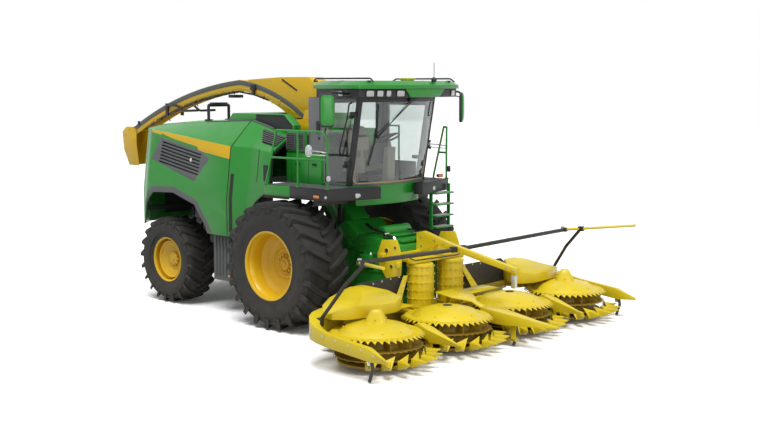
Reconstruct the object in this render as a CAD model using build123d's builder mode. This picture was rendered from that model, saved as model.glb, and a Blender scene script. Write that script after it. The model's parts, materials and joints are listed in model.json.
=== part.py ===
"""Self-propelled forage harvester with a four-rotor maize header.

Millimetres, +X forward, +Y to the driver's left, +Z up, origin on the ground in
the middle of the machine's outline.  Stations along X are measured from the
front axle, heights from the ground.
"""

import os
from math import atan2, copysign, cos, degrees, pi, radians, sin

from build123d import *

os.makedirs("parts", exist_ok=True)

# Overall reach, from the front axle
CENTRE_TIP_X = 4340      # tip of the middle crop divider
SPOUT_END_X = -6150      # rear corner of the spout's deflector
AXLE_X = -(CENTRE_TIP_X + SPOUT_END_X) / 2
WHEELBASE = 3167
RIGHT, LEFT = -1, 1
SIDES = {"right": RIGHT, "left": LEFT}

# Clearances
SEAT_GAP = 0.3           # between curved faces that rest on each other
RUNNING_GAP = 0.05       # radial, shaft in bore
PANEL_GAP = 8            # seam between neighbouring body panels
SWING_GAP = 8            # between a moving piece and a fixed one

# Wheels: loaded radius to the lug tops, width, centre plane, rim
FRONT_WHEEL = dict(radius=1030, width=850, centre=1345, rim=561, bead=533,
                   bead_half=385, disc=-10, lugs=22, lug_height=52)
REAR_WHEEL = dict(radius=770, width=600, centre=1095, rim=405, bead=381,
                  bead_half=240, disc=60, lugs=20, lug_height=42)
LUG_WIDTH = 62
LUG_NOSE = 18            # overlap of a lug past the tread's centre line
BEAD_SEAT = 45           # width of the tyre's foot on its rim
RIM_WALL = 12
FLANGE_WALL = 10
DISC_WALL = 18
HUB_R = 165
SHAFT_R = 70
SHAFT_END = 40           # shaft end inside the hub, from the wheel's centre plane
HUB_DEPTH = 150          # hub sleeve behind the wheel disc


def spot(x, y, z):
    """Return a place given from the front axle in the machine's frame."""
    return (AXLE_X + x, y, z)


def top_plane(z):
    """Return a level plane at a height, its origin over the front axle."""
    return Plane(origin=(AXLE_X, 0, z))


def side_plane(y=0):
    """Return the upright plane along the machine: local x is X, local y is Z."""
    return Plane(origin=(AXLE_X, y, 0), x_dir=(1, 0, 0), z_dir=(0, -1, 0))


def cross_plane(x):
    """Return the upright plane across the machine: local x is Y, local y is Z."""
    return Plane(origin=(AXLE_X + x, 0, 0), x_dir=(0, 1, 0), z_dir=(1, 0, 0))


def save(part, name):
    """Label a finished piece and write it as a STEP file."""
    part.label = name
    export_step(part, f"parts/{name}.step")


def lug_sweep(wheel):
    """Return half of a lug's travel round the tread, from nose to shoulder."""
    return 0.12 * wheel["radius"]


def axle_height(wheel):
    """Return the height at which the lowest lug corner meets the ground."""
    half_pitch = pi / wheel["lugs"]
    sweep = lug_sweep(wheel)
    return max(wheel["radius"] * cos(turn) + sweep * sin(turn) for turn in (0, half_pitch))


FRONT_Z = axle_height(FRONT_WHEEL)
REAR_Z = axle_height(REAR_WHEEL)


def tyre(wheel, x, z, side):
    """Build a lugged tyre from flat facets, one facet per lug pair."""
    half = wheel["width"] / 2
    carcass = wheel["radius"] - wheel["lug_height"]
    bead_r = wheel["bead"] + SEAT_GAP
    centre_y = side * wheel["centre"]
    # Columns: distance from the centre plane, radius of the carcass there
    shoulder = ((-half, carcass - 150), (-0.86 * half, carcass - 26),
                (0.86 * half, carcass - 26), (half, carcass - 150))
    dish = ((wheel["bead_half"], bead_r + 34), (half, bead_r + 120))
    hollow = wheel["bead_half"] - BEAD_SEAT
    cavity = ((-hollow, carcass - 190), (-hollow + 43, carcass - 80),
              (hollow - 43, carcass - 80), (hollow, carcass - 190))

    def ring(stations):
        with BuildPart() as form:
            for reach, radius in stations:
                plane = Plane(origin=spot(x, centre_y + reach, z), x_dir=(1, 0, 0),
                              z_dir=(0, 1, 0))
                with BuildSketch(plane):
                    RegularPolygon(radius, wheel["lugs"], major_radius=False)
            loft(ruled=True)
        return form.part

    sweep = lug_sweep(wheel)
    root = wheel["radius"] - wheel["lug_height"] - 70
    with BuildPart() as body:
        add(ring(shoulder))
        for row in SIDES.values():
            planes = []
            for index in range(wheel["lugs"]):
                turn = (index + (0.5 if row == side else 0)) * 2 * pi / wheel["lugs"]
                radial = Vector(sin(turn), 0, cos(turn))
                planes.append(Plane(origin=Vector(*spot(x, centre_y, z)) + radial * root,
                                    x_dir=(cos(turn), 0, -sin(turn)), z_dir=radial))
            with BuildSketch(*planes):
                Polygon((sweep, -row * LUG_NOSE), (sweep - LUG_WIDTH, -row * LUG_NOSE),
                        (-sweep, row * half), (-sweep + LUG_WIDTH, row * half), align=None)
            extrude(amount=wheel["radius"] - root)
        for direction in SIDES.values():
            add(ring(tuple((direction * reach, radius) for reach, radius in dish)),
                mode=Mode.SUBTRACT)
        add(ring(cavity), mode=Mode.SUBTRACT)
        add(ring(((-half - 1, bead_r), (half + 1, bead_r))), mode=Mode.SUBTRACT)
    return body.part


def rim(wheel, x, z, side):
    """Build a dished disc wheel with its hub sleeve."""
    centre = spot(x, side * wheel["centre"], z)
    seat = wheel["bead_half"]
    barrel_inner = wheel["bead"] - RIM_WALL
    disc = wheel["disc"]
    plane = Plane(origin=centre, x_dir=(0, side, 0), z_dir=(side, 0, 0))
    with BuildPart() as body:
        with BuildSketch(plane):
            with Locations((0, (barrel_inner + wheel["bead"]) / 2)):
                Rectangle(2 * seat, RIM_WALL)
            for edge in (-1, 1):
                with Locations((edge * (seat + FLANGE_WALL / 2), (barrel_inner + wheel["rim"]) / 2)):
                    Rectangle(FLANGE_WALL, wheel["rim"] - barrel_inner)
            # Dished disc from the barrel in to the hub
            Polygon((disc + 90, barrel_inner + 1), (disc + 90 + DISC_WALL, barrel_inner + 1),
                    (disc + 90 + DISC_WALL, barrel_inner - 40), (disc + DISC_WALL, 0.55 * wheel["bead"]),
                    (disc + DISC_WALL, HUB_R - 5), (disc, HUB_R - 5),
                    (disc, 0.55 * wheel["bead"] + 8), (disc + 90, barrel_inner - 34), align=None)
            with Locations(((disc - HUB_DEPTH + SHAFT_END + 60) / 2, HUB_R / 2)):
                Rectangle(SHAFT_END + 60 + HUB_DEPTH - disc, HUB_R)
        revolve(axis=Axis(centre, (0, 1, 0)))
        with BuildSketch(plane):
            with Locations(((SHAFT_END + disc - HUB_DEPTH) / 2, (SHAFT_R + RUNNING_GAP) / 2)):
                Rectangle(SHAFT_END - disc + HUB_DEPTH, SHAFT_R + RUNNING_GAP)
        revolve(axis=Axis(centre, (0, 1, 0)), mode=Mode.SUBTRACT)
    return body.part


def mirrored(part):
    """Return the same piece for the other side of the machine."""
    with BuildPart() as other:
        mirror(part, about=Plane.XZ)
    return other.part


def save_pair(part, name):
    """Write a right-hand piece and its mirror image."""
    save(part, f"{name}_right")
    save(mirrored(part), f"{name}_left")


def save_both(part, name):
    """Write a right-hand piece and its mirror image as one node."""
    with BuildPart() as both:
        add(part)
        add(mirrored(part))
    save(both.part, name)


def block(x_range, y_range, z_range, mode=Mode.ADD):
    """Add a box to the piece in hand from its ranges along X, Y and Z."""
    middle = [sum(pair) / 2 for pair in (x_range, y_range, z_range)]
    size = [pair[1] - pair[0] for pair in (x_range, y_range, z_range)]
    with Locations(spot(*middle)):
        Box(*size, mode=mode)


def pipe(points, radius, mode=Mode.ADD):
    """Add a round bar through places given from the front axle, with ball elbows."""
    places = [Vector(*spot(*point)) for point in points]
    for start, end in zip(places, places[1:]):
        with Locations(Plane(origin=(start + end) / 2, z_dir=end - start)):
            Cylinder(radius, (end - start).length, mode=mode)
    for place in places[1:-1]:
        with Locations(Location(place)):
            Sphere(radius, mode=mode)


def drum(centre, radius, half_length, direction="y", mode=Mode.ADD):
    """Add a round drum about a place, its axis along X, Y or Z."""
    axis = {"x": (1, 0, 0), "y": (0, 1, 0), "z": (0, 0, 1)}[direction]
    with Locations(Plane(origin=spot(*centre), z_dir=axis)):
        Cylinder(radius, 2 * half_length, mode=mode)


def outline(plane, points, depth, mode=Mode.ADD, both=True):
    """Extrude a straight-sided outline from a plane, to both sides of it or to one."""
    with BuildSketch(plane) as face:
        Polygon(*points, align=None)
    extrude(face.sketch, amount=depth, dir=plane.z_dir, both=both, mode=mode)


# Wheels
for title, wheel, wheel_x, wheel_z in (("front", FRONT_WHEEL, 0, FRONT_Z),
                                       ("rear", REAR_WHEEL, -WHEELBASE, REAR_Z)):
    save_pair(tyre(wheel, wheel_x, wheel_z, RIGHT), f"tyre_{title}")
    save_pair(rim(wheel, wheel_x, wheel_z, RIGHT), f"rim_{title}")

LIFT_BASE = (210, 680)   # lower pins of the header's lift cylinders
LIFT_EYE = (1350, 560)
LIFT_Y = 545
LIFT_PIN_R = 22

# Front axle: cross tube, final drives and stub shafts
AXLE_TUBE_R = 140
FINAL_DRIVE_R = 235
FINAL_DRIVE_Y = 640
hub_face = FRONT_WHEEL["centre"] + FRONT_WHEEL["disc"] - HUB_DEPTH
with BuildPart() as front_axle:
    drum((0, 0, FRONT_Z), AXLE_TUBE_R, FINAL_DRIVE_Y + 10)
    for side in SIDES.values():
        drive_end = hub_face - SWING_GAP
        drum((0, side * (FINAL_DRIVE_Y + drive_end) / 2, FRONT_Z), FINAL_DRIVE_R,
             (drive_end - FINAL_DRIVE_Y) / 2)
        shaft_end = FRONT_WHEEL["centre"] + SHAFT_END - SWING_GAP
        drum((0, side * (drive_end + shaft_end) / 2, FRONT_Z), SHAFT_R,
             (shaft_end - drive_end) / 2)
        # Bracket and pin of the header's lift cylinder
        for reach in (-70, 70):
            cheek = sorted((side * LIFT_Y + reach - 12, side * LIFT_Y + reach + 12))
            outline(side_plane(sum(cheek) / 2), ((-60, FRONT_Z - 60), (60, FRONT_Z - 60),
                    (LIFT_BASE[0] + 50, LIFT_BASE[1] + 20), (LIFT_BASE[0] + 40, LIFT_BASE[1] - 50),
                    (LIFT_BASE[0] - 40, LIFT_BASE[1] - 40)), 12)
        drum((LIFT_BASE[0], side * LIFT_Y, LIFT_BASE[1]), LIFT_PIN_R, 82)
save(front_axle.part, "front_axle")

# Rear axle: beam with forks, and a knuckle on each kingpin
KINGPIN_Y = 760
KINGPIN_R = 45
KNUCKLE_R = 105
KNUCKLE_HALF = 140
FORK_WALL = 50
BEAM_HALF = 100
fork_z = KNUCKLE_HALF + SEAT_GAP + FORK_WALL / 2
with BuildPart() as rear_axle:
    block((-WHEELBASE - BEAM_HALF, -WHEELBASE + BEAM_HALF), (-600, 600),
          (REAR_Z - BEAM_HALF, REAR_Z + BEAM_HALF))
    for side in SIDES.values():
        inner, outer = sorted((side * 540, side * 620))
        block((-WHEELBASE - BEAM_HALF, -WHEELBASE + BEAM_HALF), (inner, outer),
              (REAR_Z - fork_z - FORK_WALL / 2, REAR_Z + fork_z + FORK_WALL / 2))
        for level in (-1, 1):
            inner, outer = sorted((side * 580, side * KINGPIN_Y))
            z_mid = REAR_Z + level * fork_z
            block((-WHEELBASE - 90, -WHEELBASE + 90), (inner, outer),
                  (z_mid - FORK_WALL / 2, z_mid + FORK_WALL / 2))
            drum((-WHEELBASE, side * KINGPIN_Y, z_mid), 90, FORK_WALL / 2, "z")
        drum((-WHEELBASE, side * KINGPIN_Y, REAR_Z), KINGPIN_R, fork_z, "z")
save(rear_axle.part, "rear_axle")

rear_hub_face = REAR_WHEEL["centre"] + REAR_WHEEL["disc"] - HUB_DEPTH
with BuildPart() as knuckle:
    drum((-WHEELBASE, -KINGPIN_Y, REAR_Z), KNUCKLE_R, KNUCKLE_HALF, "z")
    housing = (KINGPIN_Y + 60, rear_hub_face - SWING_GAP)
    drum((-WHEELBASE, -sum(housing) / 2, REAR_Z), 130, (housing[1] - housing[0]) / 2)
    stub = (housing[1], REAR_WHEEL["centre"] + SHAFT_END - SWING_GAP)
    drum((-WHEELBASE, -sum(stub) / 2, REAR_Z), SHAFT_R, (stub[1] - stub[0]) / 2)
    # Steering arm ahead of the kingpin
    block((-WHEELBASE + 60, -WHEELBASE + 260), (-KINGPIN_Y - 40, -KINGPIN_Y + 40),
          (REAR_Z - 25, REAR_Z + 25))
    drum((-WHEELBASE, -KINGPIN_Y, REAR_Z), KINGPIN_R + RUNNING_GAP, KNUCKLE_HALF + 1, "z",
         mode=Mode.SUBTRACT)
save_pair(knuckle.part, "knuckle")

# Bodywork: one faceted form, cut into panels along its seams
PANEL = 30               # panel thickness with its folded edges
HOOD_BASE = 1370         # lower edge of the side panels
CREASE_Z = 2000          # below it the sides are upright
SIDE_SLOPE = 0.126       # lean of the sides above the crease
CROWN = 40               # rise of the top between its ridges
HOOD_REAR = -4150
HOOD_TOP_REAR = -3870
HOOD_SEAM_X = -1350      # between the side doors and the middle panels
DOOR_SWING_R = 2450      # hinge to the rear seam of a side door
REAR_SEAM_X = -3740      # between hood top and rear panel
MID_FRONT_X = -400
RIDGE_SEAM = 880
# Columns: station, half width, height of the stripe's crease, ridge half width, ridge height
BODY_STATIONS = (
    (HOOD_REAR, 1000, 3120, 620, 3165),
    (-3900, 1300, 3110, 800, 3180),
    (-3600, 1435, 3100, 880, 3195),
    (HOOD_SEAM_X, 1450, 2870, 900, 3285),
    (-1000, 1300, 2860, 880, 3200),
    (-740, 1345, 2840, 870, 3130),
    (MID_FRONT_X, 1400, 2800, 880, 3060),
)


def body_form(inset):
    """Build the bodywork's solid form, set in from its outer face."""
    low = HOOD_BASE - (3 * inset if inset > 0 else 0)
    with BuildPart() as form:
        for station, half, crease, ridge, ridge_z in BODY_STATIONS:
            lean = half - SIDE_SLOPE * (crease - CREASE_Z)
            with BuildSketch(cross_plane(station)):
                Polygon((-half, low), (-half, CREASE_Z), (-lean, crease), (-ridge, ridge_z),
                        (0, ridge_z + CROWN), (ridge, ridge_z), (lean, crease),
                        (half, CREASE_Z), (half, low), align=None)
                offset(amount=-inset, kind=Kind.INTERSECTION)
        loft(ruled=True)
        rear = HOOD_REAR + inset
        top_rear = HOOD_TOP_REAR + inset
        outline(side_plane(), ((rear, 0), (rear, 1900), (top_rear, 3300), (top_rear, 3600),
                               (MID_FRONT_X, 3600), (MID_FRONT_X, 0)),
                2000, mode=Mode.INTERSECT)
    return form.part


OUTER_FORM = body_form(0)
INNER_FORM = body_form(PANEL)
RIB_FORM = body_form(PANEL + SEAT_GAP)
RIB_INNER_FORM = body_form(PANEL + SEAT_GAP + 50)
with BuildPart() as shell:
    add(OUTER_FORM)
    add(INNER_FORM, mode=Mode.SUBTRACT)
SHELL = shell.part

# Rear wheel arch, from its rear foot over the top to its front foot
ARCH = ((-4300, 1300), (-3890, 1300), (-3720, 1720), (-3440, 1985), (-2840, 2010),
        (-2240, 1840), (-1930, 1480), (-1850, 1300), (-1850, 1000), (-4300, 1000))
# Side grille: five corners, seen square to the side
GRILLE = ((-3330, 2960), (-2120, 2760), (-1900, 2640), (-2270, 2235), (-3540, 2570))
GRILLE_WALL = 26
SLATS = 7

with BuildPart() as side_panel:
    add(SHELL)
    block((-3900, HOOD_SEAM_X - PANEL_GAP / 2), (-1600, -RIDGE_SEAM - PANEL_GAP / 2),
          (1000, 3500), mode=Mode.INTERSECT)
    with BuildSketch(Plane(origin=spot(HOOD_SEAM_X, -BODY_STATIONS[3][1], 1000))):
        Circle(DOOR_SWING_R)
    extrude(amount=2500, mode=Mode.INTERSECT)
    outline(side_plane(), ARCH, 2000, mode=Mode.SUBTRACT)
    outline(side_plane(-1000), GRILLE, 800, mode=Mode.SUBTRACT, both=False)
save_pair(side_panel.part, "side_panel")

with BuildPart() as rear_panel:
    add(SHELL)
    block((HOOD_REAR - 10, -3000), (-1600, 1600), (1000, 3500), mode=Mode.INTERSECT)
    block((REAR_SEAM_X - PANEL_GAP, -2900), (-RIDGE_SEAM - 20, RIDGE_SEAM + 20), (2600, 3600),
          mode=Mode.SUBTRACT)
    for side in SIDES.values():
        with BuildSketch(Plane(origin=spot(HOOD_SEAM_X, side * BODY_STATIONS[3][1], 1000))):
            Circle(DOOR_SWING_R + PANEL_GAP)
        extrude(amount=2500, mode=Mode.SUBTRACT)
    outline(side_plane(), ARCH, 2000, mode=Mode.SUBTRACT)
    # Louvred opening in the rear face, above the hitch
    for row in range(6):
        block((HOOD_REAR - 20, HOOD_REAR + 400), (-620, 620),
              (1560 + 190 * row, 1680 + 190 * row), mode=Mode.SUBTRACT)
save(rear_panel.part, "rear_panel")

with BuildPart() as grille:
    add(OUTER_FORM)
    add(body_form(GRILLE_WALL), mode=Mode.SUBTRACT)
    outline(side_plane(-1000), GRILLE, 800, mode=Mode.INTERSECT, both=False)
    # Slots between the slats, parallel to the long edges
    grille_slope = degrees(atan2(GRILLE[1][1] - GRILLE[0][1], GRILLE[1][0] - GRILLE[0][0]))
    with BuildSketch(side_plane(-1000)) as slots:
        with Locations(Location((-2720, 2620), grille_slope)):
            with GridLocations(0, 58, 1, SLATS):
                Rectangle(1150, 30)
    extrude(slots.sketch, amount=800, dir=(0, -1, 0), mode=Mode.SUBTRACT)
save_pair(grille.part, "grille")

with BuildPart() as hood_top:
    add(SHELL)
    block((REAR_SEAM_X, HOOD_SEAM_X - PANEL_GAP / 2), (-RIDGE_SEAM + PANEL_GAP / 2,
          RIDGE_SEAM - PANEL_GAP / 2), (2900, 3600), mode=Mode.INTERSECT)
save(hood_top.part, "hood_top")

# Middle panels stand between the side doors and the cab, cut round the front wheels
WHEEL_CLEARANCE = 150
with BuildPart() as mid_panel:
    add(SHELL)
    block((HOOD_SEAM_X + PANEL_GAP / 2, MID_FRONT_X), (-1600, -RIDGE_SEAM - PANEL_GAP / 2),
          (1000, 3500), mode=Mode.INTERSECT)
    drum((0, -1000, FRONT_Z), FRONT_WHEEL["radius"] + WHEEL_CLEARANCE, 900, mode=Mode.SUBTRACT)

# Deck between the middle panels, with the hole for the spout's ring
SPOUT_X = -790
RING_R = 330
DECK_HOLE_R = RING_R + 25
with BuildPart() as deck:
    add(SHELL)
    block((HOOD_SEAM_X + PANEL_GAP / 2, MID_FRONT_X), (-RIDGE_SEAM + PANEL_GAP / 2,
          RIDGE_SEAM - PANEL_GAP / 2), (2900, 3600), mode=Mode.INTERSECT)
    drum((SPOUT_X, 0, 3200), DECK_HOLE_R, 500, "z", mode=Mode.SUBTRACT)
with BuildPart() as mid_panels:
    add(mid_panel.part)
    add(mirrored(mid_panel.part))
    add(deck.part)
save(mid_panels.part, "mid_panels")

# Air intake housing on the deck, round three sides of the spout's ring
INTAKE_TOP = 3410
INTAKE_HALF = 790
INTAKE_WALL = 25
INTAKE_INNER = 620
INTAKE_SIDE = ((-2160, 3200), (-1960, INTAKE_TOP), (-620, INTAKE_TOP), (MID_FRONT_X, 3230),
               (MID_FRONT_X, 3000), (-2160, 3000))
with BuildPart() as intake:
    outline(side_plane(), INTAKE_SIDE, INTAKE_HALF)
    block((HOOD_SEAM_X - 80, MID_FRONT_X + 20), (-INTAKE_INNER, INTAKE_INNER), (2900, 3600),
          mode=Mode.SUBTRACT)
    add(body_form(-SEAT_GAP), mode=Mode.SUBTRACT)
save(intake.part, "intake_housing")

# Chassis: rails, cross members and the ribs that carry the panels
RAIL_INNER, RAIL_OUTER = 220, 285
RAIL_BOTTOM, RAIL_TOP = 1180, 1440
RIB_WALL = 50
REAR_RIB = (-3800, -3730)
FRONT_RIB = (-1400, -1300)
MID_RIB = (-470, -410)
CAB_POST = (110, 190)
CROP_REAR = 200
CAB_BEAM_TOP = 2100
DECK_BOTTOM = 2230
DECK_TOP = 2300
with BuildPart() as ribs:
    add(RIB_FORM)
    add(RIB_INNER_FORM, mode=Mode.SUBTRACT)
    with BuildPart(mode=Mode.PRIVATE) as bays:
        block(REAR_RIB, (-1600, 1600), (1620, 3400))
        block(FRONT_RIB, (-1600, 1600), (RAIL_TOP, 3400))
        block(MID_RIB, (-1600, 1600), (2330, 3400))
    add(bays.part, mode=Mode.INTERSECT)
    drum((SPOUT_X, 0, 3200), DECK_HOLE_R, 500, "z", mode=Mode.SUBTRACT)
with BuildPart() as cross_members:
    block(REAR_RIB, (-1600, 1600), (1620, 1700))
    block(FRONT_RIB, (-1600, 1600), (RAIL_TOP, RAIL_TOP + 80))
    for side in SIDES.values():
        block(MID_RIB, sorted((side * RAIL_INNER, side * 1380)), (2330, 2400))
    add(RIB_FORM, mode=Mode.INTERSECT)
BOX_BEAM = (-1720, -1640)
BOX_TOP = 1380
with BuildPart() as chassis:
    for side in SIDES.values():
        rail = sorted((side * RAIL_INNER, side * RAIL_OUTER))
        block((-3950, CROP_REAR), rail, (RAIL_BOTTOM, RAIL_TOP))
        for post, foot, head in ((REAR_RIB, RAIL_TOP, 1640), (MID_RIB, RAIL_TOP, 2350),
                                 (CAB_POST, RAIL_TOP, CAB_BEAM_TOP - 90)):
            block(post, rail, (foot - 10, head))
        beam = sorted((side * 600, side * 680))
        block((MID_RIB[0], 980), beam, (CAB_BEAM_TOP - 90, CAB_BEAM_TOP))
        block(CAB_POST, sorted((side * RAIL_INNER, side * 680)),
              (CAB_BEAM_TOP - 90, CAB_BEAM_TOP))
        block(MID_RIB, sorted((side * RAIL_INNER, side * 680)),
              (CAB_BEAM_TOP - 90, CAB_BEAM_TOP))
        # Outriggers under the walkways
        block((700, 780), sorted((side * 600, side * 1400)), (CAB_BEAM_TOP - 80, CAB_BEAM_TOP))
        block((700, 780), sorted((side * 900, side * 1400)), (CAB_BEAM_TOP - 10, DECK_BOTTOM))
        # Axle saddles
        block((-120, 120), rail, (FRONT_Z + AXLE_TUBE_R + SEAT_GAP, RAIL_BOTTOM + 10))
    block((-3960, -3890), (-RAIL_OUTER, RAIL_OUTER), (RAIL_BOTTOM - 380, RAIL_TOP))
    block(BOX_BEAM, (-1250, 1250), (BOX_TOP, BOX_TOP + 60))
    block((-WHEELBASE - 90, -WHEELBASE + 90), (-RAIL_OUTER, RAIL_OUTER),
          (REAR_Z + BEAM_HALF, RAIL_BOTTOM + 60))
    block((-120, 60), (-RAIL_OUTER, RAIL_OUTER), (RAIL_BOTTOM + 160, RAIL_TOP))
    add(cross_members.part)
    add(ribs.part)
save(chassis.part, "chassis")

with BuildPart() as engine:
    block((-3500, -2300), (-450, 450), (RAIL_TOP, RAIL_TOP + 1000))
save(engine.part, "engine")

# Dark boxes under the body between the wheels
BOX_X = (-1900, -1440)
BOX_Y = (920, 1300)
BOX_BOTTOM = 560
with BuildPart() as service_boxes:
    for side in SIDES.values():
        block(BOX_X, sorted((side * BOX_Y[0], side * BOX_Y[1])), (BOX_BOTTOM, BOX_TOP))
        for fin in range(5):
            x_fin = BOX_X[0] + 60 + 85 * fin
            block((x_fin, x_fin + 40), sorted((side * BOX_Y[1], side * (BOX_Y[1] + 22))),
                  (BOX_BOTTOM + 90, BOX_TOP - 60))
save(service_boxes.part, "service_boxes")

# Rear hitch: jaw plates with a pin bore on the chassis' end plate
HITCH_X = -4120
HITCH_Z = 840
HITCH_BORE_R = 16
with BuildPart() as hitch:
    block((HITCH_X + 60, -3960), (-150, 150), (HITCH_Z - 70, HITCH_Z + 70))
    for level in (-1, 1):
        z_low, z_high = sorted((HITCH_Z + level * 40, HITCH_Z + level * 70))
        block((HITCH_X, HITCH_X + 70), (-80, 80), (z_low, z_high))
        drum((HITCH_X, 0, (z_low + z_high) / 2), 80, (z_high - z_low) / 2, "z")
    drum((HITCH_X, 0, HITCH_Z), HITCH_BORE_R, 200, "z", mode=Mode.SUBTRACT)
save(hitch.part, "rear_hitch")

# Crop unit: cutterhead housing ahead of the axle and the duct up to the spout
CROP_HALF = 420
FEEDER_PIVOT = (560, 1330)
FEEDER_PIN_R = 40
DUCT_HALF = 200
DUCT_WALL = 8
RING_Z = 3060
with BuildPart() as crop_unit:
    outline(side_plane(), ((CROP_REAR, 620), (480, 540), (700, 640), (700, 1500), (420, 1680),
                           (CROP_REAR, 1560)), CROP_HALF)
    outline(side_plane(), ((230, 1500), (400, 1690), (20, 2020), (-560, RING_Z), (-1020, RING_Z),
                           (-300, 1900), (190, 1330)), DUCT_HALF)
    drum((SPOUT_X, 0, RING_Z + 30), RING_R, 32, "z")
    outline(side_plane(), ((150, 1500), (300, 1700), (0, 1990), (-620, RING_Z + 90),
                           (-960, RING_Z + 90), (-260, 1920)), DUCT_HALF - DUCT_WALL,
            mode=Mode.SUBTRACT)
    # Pivot pins of the feeder housing
    drum((FEEDER_PIVOT[0], 0, FEEDER_PIVOT[1]), FEEDER_PIN_R, CROP_HALF + 45)
save(crop_unit.part, "crop_unit")

# Cab: a tub, a frame with its windows cut, glass, a door and a roof
CAB_REAR = 50
CAB_HALF = 880
CAB_WALL = 45
GLASS = 8
SILL_TOP = 2310
SKIRT_BOTTOM = 1990
CAB_TOP = 3700
# Columns: height, corner station, station of the bowed front's middle
CAB_LEVELS = ((CAB_BEAM_TOP, 935, 1120), (SILL_TOP, 970, 1150), (CAB_TOP, 1215, 1400))


def cab_outline(level, inset):
    """Draw the cab's plan at one level: straight sides and a bowed front."""
    height, corner, middle = level
    with BuildSketch(top_plane(height)) as plan:
        with BuildLine():
            half = CAB_HALF
            Polyline((corner, -half), (CAB_REAR, -half), (CAB_REAR, half), (corner, half))
            ThreePointArc((corner, half), (middle, 0), (corner, -half))
        make_face()
        if inset:
            offset(amount=-inset, kind=Kind.INTERSECTION)
    return plan.sketch


def cab_form(inset, levels):
    """Build the cab's solid form between levels, set in from its outer face."""
    with BuildPart() as form:
        loft([cab_outline(level, inset).face() for level in levels], ruled=True)
    return form.part


PILLAR_LEAN = (CAB_LEVELS[2][1] - CAB_LEVELS[1][1]) / (CAB_TOP - SILL_TOP)


def pillar_x(height, back):
    """Return the station a distance behind the front pillar's corner at a height."""
    return CAB_LEVELS[1][1] + PILLAR_LEAN * (height - SILL_TOP) - back


WINDOW_LOW, WINDOW_HIGH = 2350, 3630
DOOR_LOW = 2316
DOOR_REAR = 150
DOOR_GAP = 6
WINDOW_REAR = 420
FRONT_WINDOW_HALF = 835


def window_cuts(mode, sides):
    """Cut or keep the window openings of the cab's fixed walls."""
    block((760, 1700), (-FRONT_WINDOW_HALF, FRONT_WINDOW_HALF), (WINDOW_LOW, WINDOW_HIGH),
          mode=mode)
    block((CAB_REAR - 50, CAB_REAR + 100), (-700, 700), (2860, 3600), mode=mode)
    for side in sides:
        outline(side_plane(side * 700 if side < 0 else 1000),
                ((WINDOW_REAR, WINDOW_LOW), (pillar_x(WINDOW_LOW, 70), WINDOW_LOW),
                 (pillar_x(WINDOW_HIGH, 70), WINDOW_HIGH), (WINDOW_REAR, WINDOW_HIGH)),
                300, mode=mode, both=False)


def door_outline(gap):
    """Return the door's corners, set in by a gap from its opening."""
    low, high = DOOR_LOW + gap, WINDOW_HIGH - gap
    return ((DOOR_REAR + gap, low), (pillar_x(low, 65 + gap), low),
            (pillar_x(high, 65 + gap), high), (DOOR_REAR + gap, high))


CAB_SHELL_LEVELS = CAB_LEVELS[1:]
with BuildPart() as cab_floor:
    add(cab_form(0, CAB_LEVELS[:2]))
    block((CAB_REAR + CAB_WALL, 900), (-CAB_HALF + CAB_WALL, CAB_HALF - CAB_WALL),
          (2180, 2400), mode=Mode.SUBTRACT)
    extrude(cab_outline((SKIRT_BOTTOM,) + CAB_LEVELS[0][1:], 0),
            amount=CAB_BEAM_TOP - SKIRT_BOTTOM, dir=(0, 0, 1))
    block((0, 985), (-CAB_HALF - 1, CAB_HALF + 1), (SKIRT_BOTTOM - 10, CAB_BEAM_TOP),
          mode=Mode.SUBTRACT)
save(cab_floor.part, "cab_floor")

HINGE_X, HINGE_Y = 118, 906
PIN_R = 12
SLEEVE_R = 20
HINGE_LEVELS = (2520, 3420)
with BuildPart() as cab_frame:
    add(cab_form(0, CAB_SHELL_LEVELS))
    add(cab_form(CAB_WALL, CAB_SHELL_LEVELS), mode=Mode.SUBTRACT)
    window_cuts(Mode.SUBTRACT, (RIGHT,))
    outline(side_plane(1000), door_outline(0), 300, mode=Mode.SUBTRACT, both=False)
    for level in HINGE_LEVELS:
        drum((HINGE_X, HINGE_Y, level), PIN_R, 60, "z")
        block((HINGE_X - 15, HINGE_X + 15), (CAB_HALF - 10, HINGE_Y), (level - 80, level - 60))
        drum((HINGE_X, HINGE_Y, level - 70), SLEEVE_R, 10, "z")
save(cab_frame.part, "cab_frame")

with BuildPart() as panes:
    window_cuts(Mode.ADD, (RIGHT,))
with BuildPart() as cab_glass:
    add(cab_form(0, CAB_SHELL_LEVELS))
    add(cab_form(GLASS, CAB_SHELL_LEVELS), mode=Mode.SUBTRACT)
    add(panes.part, mode=Mode.INTERSECT)
save(cab_glass.part, "cab_glass")

with BuildPart() as cab_door:
    add(cab_form(0, CAB_LEVELS))
    add(cab_form(CAB_WALL, CAB_LEVELS), mode=Mode.SUBTRACT)
    outline(side_plane(1000), door_outline(DOOR_GAP), 300, mode=Mode.INTERSECT, both=False)
    pane_low, pane_high = WINDOW_LOW + 40, WINDOW_HIGH - 70
    door_window = ((DOOR_REAR + 70, pane_low), (pillar_x(pane_low, 140), pane_low),
                   (pillar_x(pane_high, 140), pane_high), (DOOR_REAR + 70, pane_high))
    outline(side_plane(1000), door_window, 300, mode=Mode.SUBTRACT, both=False)
    for level in HINGE_LEVELS:
        block((HINGE_X, DOOR_REAR + 40), (HINGE_Y - 8, HINGE_Y + 8), (level - 50, level + 50))
        block((DOOR_REAR + DOOR_GAP, DOOR_REAR + 50), (CAB_HALF - 10, HINGE_Y + 8),
              (level - 50, level + 50))
        drum((HINGE_X, HINGE_Y, level), SLEEVE_R, 50, "z")
        drum((HINGE_X, HINGE_Y, level), PIN_R + RUNNING_GAP, 51, "z", mode=Mode.SUBTRACT)
save(cab_door.part, "cab_door")

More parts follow.
